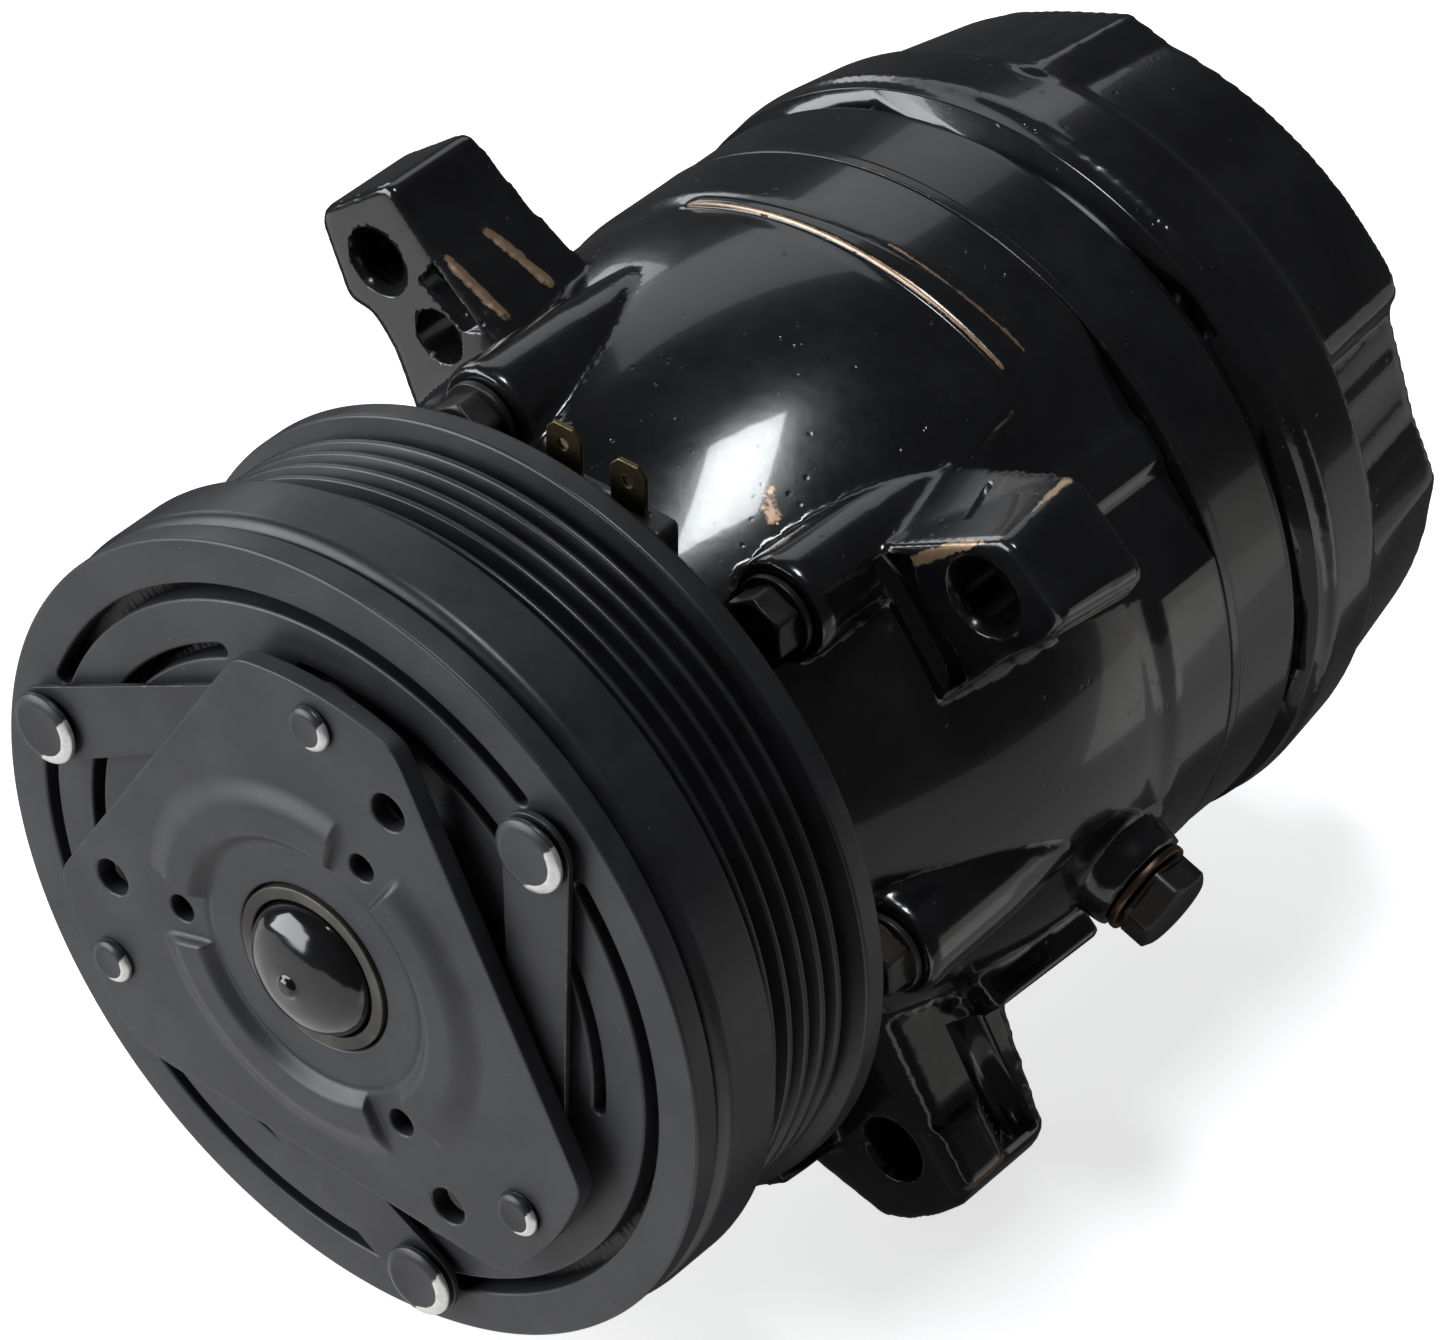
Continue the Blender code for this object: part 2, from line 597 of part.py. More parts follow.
def make_valves():
    """Reed plate, valve plate, gasket, control valve, relief valve and oil plug."""
    reed = rod("suction_reed_plate", 144.3, 144.9, 50.2, 30, phase=1.2)
    plate = rod("valve_plate", 145.2, 148.2, 50.2, 30, phase=1.2)
    gasket = lathe("head_gasket", [(148.5, 25.2), (148.5, 50.2), (149.3, 50.2), (149.3, 25.2)], 30)
    for angle in PISTON_ANGLES:
        cut(reed, rod("cutter", 143, 146, 3.4, 8, polar(33.5, angle), 8))
        cut(plate, rod("cutter", 144, 149, 3.0, 8, polar(33.5, angle), 8))
        cut(plate, rod("cutter", 144, 149, 3.2, 8, polar(20.5, angle), 8))
        cut(gasket, rod("cutter", 147, 151, 4.0, 8, polar(33.5, angle), 8))
    finish(reed, "valve_steel")
    finish(plate, "valve_steel")
    finish(gasket, "seal_rubber")

    at = polar(CONTROL_R, 202)
    body = [(163.0, 0), (163.0, 4.5), (166.0, 4.5), (166.0, 7.9), (170.0, 7.9), (170.0, 7.0)]
    body += [(172.5, 7.0), (172.5, 7.9), (182.0, 7.9), (182.0, 5.0), (180.6, 4.4), (180.6, 0)]
    finish(lathe("control_valve", body, 16, at), "valve_steel")
    ring = lathe("valve_snap_ring", [(182.3, 5.9), (182.3, 8.0), (183.4, 8.0), (183.4, 5.9)], 18, at, 5.0)
    x, z = polar(CONTROL_R - 7.0, 202)
    cut(ring, box("cutter", x - 4.0, x + 4.0, 180, 186, z - 1.6, z + 1.6))
    finish(ring, "spring_steel")

    at = polar(45.5, -33)
    stem = [(172.2, 0), (172.2, 3.9), (184.3, 3.9), (184.3, 5.6), (185.2, 5.6), (185.2, 0)]
    relief = lathe("relief_valve", stem, 12, at, 4.0)
    fuse(relief, rod("blank", 184.9, 189.6, 7.4, 6, at), rod("blank", 189.2, 191.6, 4.2, 12, at, 9.0))
    cut(relief, rod("cutter", 187.6, 194, 1.6, 8, at, 3.0))
    finish(relief, "valve_steel")

    washer = spoke("oil_plug_washer", PLUG_ANGLE, PLUG_S, 66.7, 67.9, 7.7, 16, 3)
    cut(washer, spoke("cutter", PLUG_ANGLE, PLUG_S, 60.0, 70.0, 4.5, 12, 5))
    finish(washer, "valve_steel")
    plug = spoke("oil_plug", PLUG_ANGLE, PLUG_S, 68.2, 73.2, 7.3, 6, 20)
    fuse(plug, spoke("blank", PLUG_ANGLE, PLUG_S, 57.0, 70.0, 3.9, 10, 2))
    finish(plug, "bolt_steel")


def make_bolts():
    """Six long bolts that clamp front head, block and rear head together."""
    for k, angle in enumerate(BOLT_ANGLES):
        at = polar(BOLT_CIRCLE_R, angle)
        name = "through_bolt_%d" % (k + 1)
        bolt = rod(name, BOLT_SEAT_S - 1.0, 166.0, 3.0, 8, at, angle + 2)
        fuse(
            bolt,
            rod("blank", BOLT_SEAT_S - 1.7, BOLT_SEAT_S - 0.3, 6.6, 14, at, angle + 5),
            rod("blank", BOLT_SEAT_S - 6.4, BOLT_SEAT_S - 1.5, 5.7, 6, at, angle + 12),
        )
        finish(bolt, "bolt_steel")


# Mechanism

def make_shaft():
    """Shaft with its keyway, the spherical sleeve and the drive lug."""
    profile = [(-8.6, 0), (-8.6, 5.3), (-7.9, 6.0), (-0.6, 6.0), (-0.6, 7.5), (43.5, 7.5)]
    profile += [(43.5, SHAFT_R), (117.2, SHAFT_R), (118.0, 7.2), (118.0, 0)]
    shaft = lathe("shaft", profile, 20, phase=4.0)
    cut(shaft, box("cutter", -1.8, 1.8, 0.6, 9.4, 6.4, 9.0))
    finish(shaft, "shaft_steel")

    sleeve = []
    for angle in (50, 65, 80, 100, 115, 130):
        turn = math.radians(angle)
        sleeve.append((WOBBLE_S - 15.0 * math.cos(turn), 15.0 * math.sin(turn)))
    sleeve = [(sleeve[0][0], 8.4)] + sleeve + [(sleeve[-1][0], 8.4)]
    finish(lathe("spherical_sleeve", sleeve, 16), "bearing_steel")

    disc = [(60.6, 8.3), (60.6, 23.0), (61.6, 24.0), (66.4, 24.0), (67.4, 23.0), (67.4, 8.3)]
    lug = lathe("drive_lug", disc, 24, phase=3.0)
    fuse(lug, box("blank", -7.0, 7.0, 61.0, 68.6, 15.0, 31.0))
    cut(lug, box("cutter", -2.6, 2.6, 64.0, 70.0, 19.0, 33.0))
    finish(lug, "shaft_steel")


def make_wobble():
    """Wobble plate with a spherical bore, five rod sockets and the guide slot."""
    bore = []
    for half in (-4.5, -1.6, 1.6, 4.5):
        bore.append((WOBBLE_S + half, math.sqrt(15.4 ** 2 - half ** 2)))
    profile = [(WOBBLE_S - 4.5, 42.0), (WOBBLE_S - 3.5, 43.0), (WOBBLE_S + 3.5, 43.0)]
    profile += [(WOBBLE_S + 4.5, 42.0)] + bore[::-1]
    plate = lathe("wobble_plate", profile, 24, phase=2.0)
    for angle in PISTON_ANGLES:
        cut(plate, rod("cutter", 78, 90, 7.4, 12, polar(PISTON_PITCH_R, angle), 6.0))
    cut(plate, box("cutter", -5.8, 5.8, 78, 90, -46, -34.2))
    finish(plate, "shaft_steel")
    set_origin(plate, place(0, WOBBLE_S, 0))

    finish(rod("guide_pin", 55.0, 105.4, 2.5, 10, (0, GUIDE_Z)), "shaft_steel")
    bead = []
    for angle in (38, 62, 90, 118, 142):
        turn = math.radians(angle)
        bead.append((WOBBLE_S - 5.0 * math.cos(turn), 5.0 * math.sin(turn)))
    bead = [(bead[0][0], 2.8)] + bead + [(bead[-1][0], 2.8)]
    finish(lathe("ball_guide", bead, 12, (0, GUIDE_Z)), "bearing_steel")


def make_pistons():
    """Five pistons, each in one piece with its rod and ball end."""
    for k, angle in enumerate(PISTON_ANGLES):
        profile = [(WOBBLE_S - 5.5, 0)]
        for turn in (45, 90, 128):
            a = math.radians(turn)
            profile.append((WOBBLE_S - 5.5 * math.cos(a), 5.5 * math.sin(a)))
        profile += [(WOBBLE_S + 4.6, 3.0), (115.8, 3.0), (115.8, 14.6), (116.4, 15.1)]
        profile += [(126.0, 15.1), (126.0, 14.2), (127.8, 14.2), (127.8, 15.1)]
        profile += [(133.6, 15.1), (134.1, 14.6), (134.1, 0)]
        name = "piston_%d" % (k + 1)
        piston = lathe(name, profile, 12, polar(PISTON_PITCH_R, angle))
        finish(piston, "piston_aluminium")


def main():
    """Build every piece in order."""
    for item in list(bpy.data.objects):
        bpy.data.objects.remove(item)
    make_materials()
    make_pulley()
    make_armature()
    make_hub()
    make_coil()
    make_bearings()
    make_front_head()
    make_block()
    make_rear_head()
    make_valves()
    make_bolts()
    make_shaft()
    make_wobble()
    make_pistons()


main()
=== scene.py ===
"""Looks of a belt-driven air conditioning compressor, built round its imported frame.

Stations s run rearwards in millimetres along +Y from the front of the armature plate, radii
are in millimetres, and angles turn from +X towards +Z. Every new surface is a numpy grid in
world metres. A piece rides on the body that its solid belongs to.
"""

import json
import logging
import math
from collections.abc import Callable, Sequence
from dataclasses import dataclass, field
from enum import Enum

import bmesh
import bpy
import numpy as np
from mathutils import Matrix, Vector

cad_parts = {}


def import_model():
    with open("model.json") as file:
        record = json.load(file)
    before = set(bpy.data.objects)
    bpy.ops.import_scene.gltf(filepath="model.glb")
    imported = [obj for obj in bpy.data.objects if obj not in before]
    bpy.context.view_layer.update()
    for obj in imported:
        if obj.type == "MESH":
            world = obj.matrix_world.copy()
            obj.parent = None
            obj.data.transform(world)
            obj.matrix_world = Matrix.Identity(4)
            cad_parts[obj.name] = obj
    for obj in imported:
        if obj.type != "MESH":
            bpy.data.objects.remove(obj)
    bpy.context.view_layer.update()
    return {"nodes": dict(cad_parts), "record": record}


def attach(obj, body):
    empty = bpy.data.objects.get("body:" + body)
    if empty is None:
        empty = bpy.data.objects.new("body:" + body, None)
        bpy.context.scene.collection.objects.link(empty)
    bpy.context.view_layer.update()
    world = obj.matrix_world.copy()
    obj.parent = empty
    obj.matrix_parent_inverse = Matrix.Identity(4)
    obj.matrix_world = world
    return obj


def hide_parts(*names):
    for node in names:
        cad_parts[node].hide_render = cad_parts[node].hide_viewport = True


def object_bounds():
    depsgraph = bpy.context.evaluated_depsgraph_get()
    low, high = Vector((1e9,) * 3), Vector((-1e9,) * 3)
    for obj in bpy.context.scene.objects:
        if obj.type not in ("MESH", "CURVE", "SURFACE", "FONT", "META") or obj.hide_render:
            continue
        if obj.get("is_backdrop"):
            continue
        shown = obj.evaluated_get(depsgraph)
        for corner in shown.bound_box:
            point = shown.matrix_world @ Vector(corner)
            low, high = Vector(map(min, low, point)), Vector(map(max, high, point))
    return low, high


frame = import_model()

LOG = logging.getLogger("compressor")
MM = 0.001
BELT_S = 27.3
MERGE_DISTANCE = 2e-7
CORNER_SHARE = 0.45
FLATS_WEIGHT = 60
UPPER_EAR, RIGHT_EAR, LOWER_EAR = 134.0, 40.0, -55.0
CAST_VOXEL, CAST_PASSES = 0.85, 3
WORN_METAL, WORN_ROUGH = 0.62, 0.34
PITS_PER_METRE, SPECKS_PER_METRE = 420.0, 560.0
DUST_TONE = (0.22, 0.21, 0.20)
Colour = tuple[float, float, float]
Pair = tuple[float, float]


# ---------------------------------------------------------------- surfaces


def polar(radius: np.ndarray | float, degrees: np.ndarray | float) -> tuple:
    """Return x = r cos(a) and z = r sin(a) for radii and angles in degrees."""
    turn = np.radians(degrees)
    return radius * np.cos(turn), radius * np.sin(turn)


def across(angle: float, radial: np.ndarray | float, side: np.ndarray | float) -> tuple:
    """Return x and z of points given along and across the radius at an angle.

    x = radial cos(a) - side sin(a) and z = radial sin(a) + side cos(a).

    Args:
        angle: the radius's angle in degrees.
        radial: distances along it.
        side: distances across it, towards growing angles.

    Returns:
        The x and z values.
    """
    cos, sin = math.cos(math.radians(angle)), math.sin(math.radians(angle))
    return radial * cos - side * sin, radial * sin + side * cos


def world(x: np.ndarray, s: np.ndarray, z: np.ndarray) -> np.ndarray:
    """Stack millimetre values into world metres: (x, s - belt station, z) / 1000."""
    parts = np.broadcast_arrays(np.asarray(x, float), np.asarray(s, float) - BELT_S, z)
    return np.stack(parts, axis=-1) * MM


def smoothstep(low: float, high: float, value: np.ndarray) -> np.ndarray:
    """Return 3t^2 - 2t^3, where t is the value's clamped share of low to high."""
    t = np.clip((value - low) / (high - low), 0.0, 1.0)
    return t * t * (3.0 - 2.0 * t)


def rounded(profile: Sequence, setback: float | Sequence = 0.4, steps: int = 4) -> np.ndarray:
    """Round every corner of a closed loop with a short quadratic curve.

    Corner C becomes B(t) = (1-t)^2 A + 2t(1-t) C + t^2 D, where A and D lie a setback away
    from C on its two edges, never past 45 percent of the edge. Points on the axis stay.

    Args:
        profile: corner points, two numbers each.
        setback: distance from each corner at which its curve starts, in millimetres.
        steps: segments in each curve.

    Returns:
        The rounded loop, one row per point.
    """
    corner = np.asarray(profile, float)
    back = np.roll(corner, 1, axis=0) - corner
    ahead = np.roll(corner, -1, axis=0) - corner
    long_back = np.linalg.norm(back, axis=1, keepdims=True)
    long_ahead = np.linalg.norm(ahead, axis=1, keepdims=True)
    reach = np.minimum(long_back, long_ahead) * CORNER_SHARE
    wanted = np.broadcast_to(np.asarray(setback, float), (len(corner),))[:, None]
    reach = np.minimum(reach, wanted) * (corner[:, 1:2] != 0.0)
    first = corner + back / np.maximum(long_back, 1e-9) * reach
    last = corner + ahead / np.maximum(long_ahead, 1e-9) * reach
    t = np.linspace(0.0, 1.0, steps + 1)[None, :, None]
    curve = (1 - t) ** 2 * first[:, None] + 2 * t * (1 - t) * corner[:, None]
    return (curve + t**2 * last[:, None]).reshape(-1, 2)


def softened(profile: Sequence, steps: int) -> np.ndarray:
    """Round a loop whose rows are station, radius and that corner's setback."""
    table = np.asarray(profile, float)
    return rounded(table[:, :2], table[:, 2], steps)


def linked(name: str, data: bpy.types.ID) -> bpy.types.Object:
    """Make an object of a mesh, a lamp or a camera, and link it to the scene."""
    item = bpy.data.objects.new(name, data)
    bpy.context.scene.collection.objects.link(item)
    return item


def finished(name: str, work: bmesh.types.BMesh) -> bpy.types.Object:
    """Make a smooth shaded object of a worked mesh, which is used up."""
    mesh = bpy.data.meshes.new(name)
    work.to_mesh(mesh)
    work.free()
    mesh.shade_smooth()
    return linked(name, mesh)


def shell(name: str, verts: np.ndarray, faces: np.ndarray | list) -> bpy.types.Object:
    """Make a mesh object from points and faces, with its doubles merged and facing out.

    Args:
        name: the piece's name.
        verts: points in world metres, one row each.
        faces: rows of point numbers.

    Returns:
        The new object, linked to the scene and shaded smooth.
    """
    mesh = bpy.data.meshes.new(name)
    mesh.from_pydata(np.asarray(verts).reshape(-1, 3), [], faces)
    work = bmesh.new()
    work.from_mesh(mesh)
    bmesh.ops.remove_doubles(work, verts=work.verts, dist=MERGE_DISTANCE)
    bmesh.ops.recalc_face_normals(work, faces=work.faces)
    work.to_mesh(mesh)
    work.free()
    mesh.shade_smooth()
    return linked(name, mesh)


def grid_faces(rows: int, cols: int, loop_rows: bool, loop_cols: bool) -> np.ndarray:
    """Return the four-cornered faces of a grid of points.

    Args:
        rows: rows of points.
        cols: points in each row.
        loop_rows: whether the last row joins the first.
        loop_cols: whether the last column joins the first.

    Returns:
        Rows of four point numbers.
    """
    index = np.arange(rows * cols).reshape(rows, cols)
    if loop_rows:
        index = np.vstack([index, index[:1]])
    if loop_cols:
        index = np.hstack([index, index[:, :1]])
    corners = [index[:-1, :-1], index[:-1, 1:], index[1:, 1:], index[1:, :-1]]
    return np.stack(corners, axis=-1).reshape(-1, 4)


def surface(name: str, grid: np.ndarray, loop_rows: bool = False) -> bpy.types.Object:
    """Make a piece from a grid of points that closes round its columns."""
    rows, cols = grid.shape[:2]
    return shell(name, grid, grid_faces(rows, cols, loop_rows, True))


def turned(
    name: str,
    profile: Sequence | np.ndarray,
    seg: int = 160,
    centre: Pair = (0.0, 0.0),
    phase: float = 0.0,
) -> bpy.types.Object:
    """Turn a profile about a line along the shaft direction.

    Point (i, k) is (cx + r_i cos a_k, s_i, cz + r_i sin a_k). A profile that starts on the
    axis is a solid; any other is a ring and closes on itself.

    Args:
        name: the piece's name.
        profile: rows of station and radius.
        seg: points round the turn.
        centre: x and z of the line.
        phase: angle of the first point in degrees.

    Returns:
        The turned piece.
    """
    rows = np.asarray(profile, float)
    angles = phase + np.arange(seg) * 360.0 / seg
    x, z = polar(rows[:, 1:2], angles[None, :])
    points = world(centre[0] + x, rows[:, 0:1], centre[1] + z)
    return surface(name, points, loop_rows=rows[0, 1] > 0)


def bore(
    s0: float,
    s1: float,
    radius: float,
    seg: int,
    centre: Pair = (0.0, 0.0),
    phase: float = 0.0,
) -> bpy.types.Object:
    """Make a plain round cutter along the shaft direction.

    Args:
        s0: first station.
        s1: last station.
        radius: its radius.
        seg: points round it.
        centre: x and z of its line.
        phase: angle of its first point in degrees.

    Returns:
        The cutter.
    """
    profile = [(s0, 0), (s0, radius), (s1, radius), (s1, 0)]
    return turned("bore", profile, seg, centre, phase)


def spoke(
    name: str, angle: float, station: float, profile: Sequence | np.ndarray, seg: int = 48
) -> bpy.types.Object:
    """Turn a profile of (height along the spoke, radius) about a radius of the shaft.

    Point (i, k) is the spoke's line at height h_i plus r_i (along cos a_k + side sin a_k),
    where along is the shaft direction and side is across the spoke.

    Args:
        name: the piece's name.
        angle: the spoke's angle about the shaft in degrees.
        station: where the spoke leaves the shaft line.
        profile: rows of height and radius, which start and end on the spoke's line.
        seg: points round the turn.

    Returns:
        The turned piece.
    """
    rows = np.asarray(profile, float)
    turn = np.arange(seg) * 2.0 * np.pi / seg
    x, z = across(angle, rows[:, 0:1], rows[:, 1:2] * np.sin(turn)[None, :])
    s = station + rows[:, 1:2] * np.cos(turn)[None, :]
    return surface(name, world(x, s, z), loop_rows=rows[0, 1] > 0)


def blank(name: str, front: np.ndarray, rear: np.ndarray, steps: int = 1) -> bpy.types.Object:
    """Join two outlines with straight lines, and close each end with a fan.

    Row j is front + (rear - front) j / steps, and each end closes on its mean point.

    Args:
        name: the piece's name.
        front: rows of x, station and z.
        rear: as many rows for the other end.
        steps: rows of faces between the ends.

    Returns:
        The closed blank.
    """
    first, last = np.asarray(front, float), np.asarray(rear, float)
    share = np.linspace(0.0, 1.0, steps + 1)[:, None, None]
    walls = first[None] + (last - first)[None] * share
    ends = [np.broadcast_to(e.mean(axis=0), first.shape)[None] for e in (first, last)]
    grid = np.concatenate([ends[0], walls, ends[1]])
    return surface(name, world(grid[..., 0], grid[..., 1], grid[..., 2]))


def prism(name: str, outline: np.ndarray, s0: float, s1: float) -> bpy.types.Object:
    """Make a straight blank.

    Args:
        name: the piece's name.
        outline: rows of x and z.
        s0: front station.
        s1: rear station.

    Returns:
        The closed blank.
    """
    edge = np.asarray(outline, float)
    front = np.column_stack([edge[:, 0], np.full(len(edge), s0), edge[:, 1]])
    rear = np.column_stack([edge[:, 0], np.full(len(edge), s1), edge[:, 1]])
    return blank(name, front, rear)


def circle(radius: float, seg: int = 48, centre: Pair = (0.0, 0.0)) -> np.ndarray:
    """Return the (x, z) points of a circle."""
    x, z = polar(radius, np.arange(seg) * 360.0 / seg)
    return np.column_stack([centre[0] + x, centre[1] + z])


def arc_slot(r0: float, r1: float, a0: float, a1: float, steps: int = 60) -> np.ndarray:
    """Return the outline of a curved slot with round ends.

    Two arcs at r0 and r1 are joined by half circles of radius (r1 - r0) / 2.

    Args:
        r0: inner radius.
        r1: outer radius.
        a0: angle at which the straight part of the slot starts.
        a1: angle at which it ends.
        steps: points along each arc.

    Returns:
        Rows of x and z.
    """
    middle, half = (r0 + r1) / 2.0, (r1 - r0) / 2.0
    sweep = np.linspace(a0, a1, steps)
    outer = np.column_stack(polar(r1, sweep))
    inner = np.column_stack(polar(r0, sweep[::-1]))
    turn = np.linspace(0.0, 180.0, 9)[1:-1]
    far = np.column_stack(polar(middle, a1)) + np.column_stack(polar(half, a1 + turn))
    near = np.column_stack(polar(middle, a0)) + np.column_stack(polar(half, a0 + 180 + turn))
    return np.vstack([outer, far, inner, near])


def inset(loop: np.ndarray, reach: float) -> np.ndarray:
    """Move a closed loop to its left along the mean normal at each point.

    Args:
        loop: rows of x and z.
        reach: distance of the move.

    Returns:
        The moved loop.
    """
    ahead = np.roll(loop, -1, axis=0) - np.roll(loop, 1, axis=0)
    normal = np.column_stack([-ahead[:, 1], ahead[:, 0]])
    return loop + normal / np.linalg.norm(normal, axis=1, keepdims=True) * reach


def is_left_turning(loop: np.ndarray) -> bool:
    """Tell whether a closed loop runs anticlockwise, by the sign of its area."""
    x, z = loop[:, 0], loop[:, 1]
    return float(np.sum(x * np.roll(z, -1) - z * np.roll(x, -1))) > 0


def plate(
    name: str,
    outline: np.ndarray,
    holes: Sequence[np.ndarray],
    s0: float,
    s1: float,
    soft: float,
) -> bpy.types.Object:
    """Make a flat plate with holes whose edges are all rounded.

    A quarter-circle section is carried along the outline and along each hole: at turn a the
    loop is inset into the material by soft (1 - sin a) and stands soft (1 - cos a) behind
    the face. Flat faces then fill the loops.

    Args:
        name: the piece's name.
        outline: (x, z) points of the rim.
        holes: (x, z) points of each hole.
        s0: front station.
        s1: rear station.
        soft: radius of the rounded edges.

    Returns:
        The plate.
    """
    turn = np.radians(np.linspace(0.0, 90.0, 4))
    into = soft * (1.0 - np.sin(turn))
    down = soft * (1.0 - np.cos(turn))
    stations = np.concatenate([s0 + down, s1 - down[::-1]])
    insets = np.concatenate([into, into[::-1]])
    work = bmesh.new()
    rims: tuple[list, list] = ([], [])
    for number, loop in enumerate([outline, *holes]):
        points = np.asarray(loop, float)
        if is_left_turning(points) != (number == 0):
            points = points[::-1]
        loops = [inset(points, reach) for reach in insets]
        rows = [world(p[:, 0], s, p[:, 1]) for p, s in zip(loops, stations)]
        verts = [[work.verts.new(p) for p in row] for row in rows]
        for face in grid_faces(len(rows), len(points), False, True):
            work.faces.new([verts[i // len(points)][i % len(points)] for i in face])
        for rim, row in zip(rims, (verts[0], verts[-1])):
            rim.extend(work.edges.get((row[i - 1], row[i])) for i in range(len(row)))
    for rim in rims:
        bmesh.ops.triangle_fill(work, use_beauty=True, edges=rim)
    bmesh.ops.recalc_face_normals(work, faces=work.faces)
    return finished(name, work)


def hexagon(
    name: str, point: Callable, across_flats: float, low: float, high: float, seg: int = 96
) -> bpy.types.Object:
    """Make a hexagon head whose top corners are cut by a cone.

    Round the head, the wall stands at r(a) = half flats / cos(a folded into +-30 degrees).
    Rows run from the middle of the base, up the wall, over the cone and to the middle of
    the top, where the cone lowers the wall's top by tan(28 deg) (r - 0.95 half flats).

    Args:
        name: the piece's name.
        point: turns arrays of height, radius and angle into world points.
        across_flats: width over the flats.
        low: height of the base.
        high: height of the top face.
        seg: points round the head.

    Returns:
        The head, a closed piece.
    """
    half, cone = across_flats / 2.0, math.radians(28.0)
    angle = np.arange(seg) * 360.0 / seg
    folded = np.radians((angle + 30.0) % 60.0 - 30.0)
    wall = np.minimum(half / np.cos(folded), half * 1.125)
    flat = np.full(seg, half * 0.95)
    drop = (wall - flat) * math.tan(cone)
    zero, one = np.zeros(seg), np.ones(seg)
    rows = (
        (zero, low * one),
        (wall * 0.97, low * one),
        (wall, (low + 0.15) * one),
        (wall, high - drop - 0.2),
        (wall * 0.985, high - drop),
        (flat * 1.01, (high - 0.04) * one),
        (flat * 0.96, high * one),
        (zero, high * one),
    )
    radii, heights = (np.stack(column) for column in zip(*rows))
    return surface(name, point(heights, radii, angle[None, :] * one[None, :]))


def join(name: str, items: Sequence[bpy.types.Object]) -> bpy.types.Object:
    """Put the meshes of several new objects into one, without welding them."""
    work = bmesh.new()
    for item in items:
        work.from_mesh(item.data)
        drop_object(item)
    return finished(name, work)


def drop_object(item: bpy.types.Object) -> None:
    """Remove an object and its mesh."""
    mesh = item.data
    bpy.data.objects.remove(item)
    bpy.data.meshes.remove(mesh)


def settle(item: bpy.types.Object) -> bpy.types.Object:
    """Replace an object's mesh by what its modifiers make of it."""
    bpy.context.view_layer.update()
    graph = bpy.context.evaluated_depsgraph_get()
    done = bpy.data.meshes.new_from_object(item.evaluated_get(graph))
    item.modifiers.clear()
    old, item.data = item.data, done
    bpy.data.meshes.remove(old)
    return item


def combine(
    target: bpy.types.Object, tools: Sequence[bpy.types.Object], union: bool = False
) -> bpy.types.Object:
    """Cut tools away from a piece, or join them to it, in one exact Boolean.

    Args:
        target: the piece, which is changed.
        tools: closed pieces, which are used up.
        union: whether they are joined to the piece.

    Returns:
        The piece.
    """
    tool = join("tool", tools)
    step = target.modifiers.new("step", "BOOLEAN")
    step.operation = "UNION" if union else "DIFFERENCE"
    step.solver = "EXACT"
    step.object = tool
    settle(target)
    drop_object(tool)
    return target


def vertex_places(item: bpy.types.Object) -> np.ndarray:
    """Return the places of a mesh's points, one row each."""
    points = np.empty(len(item.data.vertices) * 3)
    item.data.vertices.foreach_get("co", points)
    return points.reshape(-1, 3)


def mark_wear_and_highlight(item: bpy.types.Object, amount: np.ndarray) -> None:
    """Store how worn each point is, or how strongly a painted highlight lies on it, 0 to 1, for the
    finish to read.
    """
    layer = item.data.attributes.new("wear", "FLOAT", "POINT")
    layer.data.foreach_set("value", np.asarray(amount, np.float32))


def settle_on(
    item: bpy.types.Object, radius_at: Callable, low: float, high: float, reach: float = 0.5
) -> None:
    """Lay the points that nearly lie on a surface round the shaft exactly on it.

    A point at radius r moves to radius_at(angle, station) where the gap is below half the
    reach. The move fades out until the gap equals the reach, and near both stations.

    Args:
        item: the casting.
        radius_at: gives the radius in millimetres for angles in degrees and stations.
        low: first station.
        high: last station.
        reach: widest gap that is closed, in millimetres.
    """
    points = vertex_places(item)
    x, s, z = points[:, 0] / MM, points[:, 1] / MM + BELT_S, points[:, 2] / MM
    r = np.hypot(x, z)
    gap = radius_at(np.degrees(np.arctan2(z, x)), s) - r
    share = 1.0 - smoothstep(0.5 * reach, reach, np.abs(gap))
    share = share * smoothstep(low, low + 0.8, s) * (1.0 - smoothstep(high - 0.8, high, s))
    scale = 1.0 + share * gap / np.maximum(r, 1.0)
    points[:, 0] *= scale
    points[:, 2] *= scale
    item.data.vertices.foreach_set("co", points.ravel())
    item.data.update()


def cast(name: str, blanks: Sequence[bpy.types.Object]) -> bpy.types.Object:
    """Melt overlapping blanks into one casting with soft edges and filled corners.

    A fine voxel mesh is laid over them all, and each smoothing pass then moves a point
    half way to its neighbours.

    Args:
        name: the casting's name.
        blanks: closed overlapping shapes, which are used up.

    Returns:
        The casting.
    """
    item = join(name, blanks)
    melt = item.modifiers.new("melt", "REMESH")
    melt.mode = "VOXEL"
    melt.voxel_size = CAST_VOXEL * MM
    melt.use_smooth_shade = True
    soften = item.modifiers.new("soften", "SMOOTH")
    soften.factor = 0.5
    soften.iterations = CAST_PASSES
    return settle(item)


# ---------------------------------------------------------------- shader maths


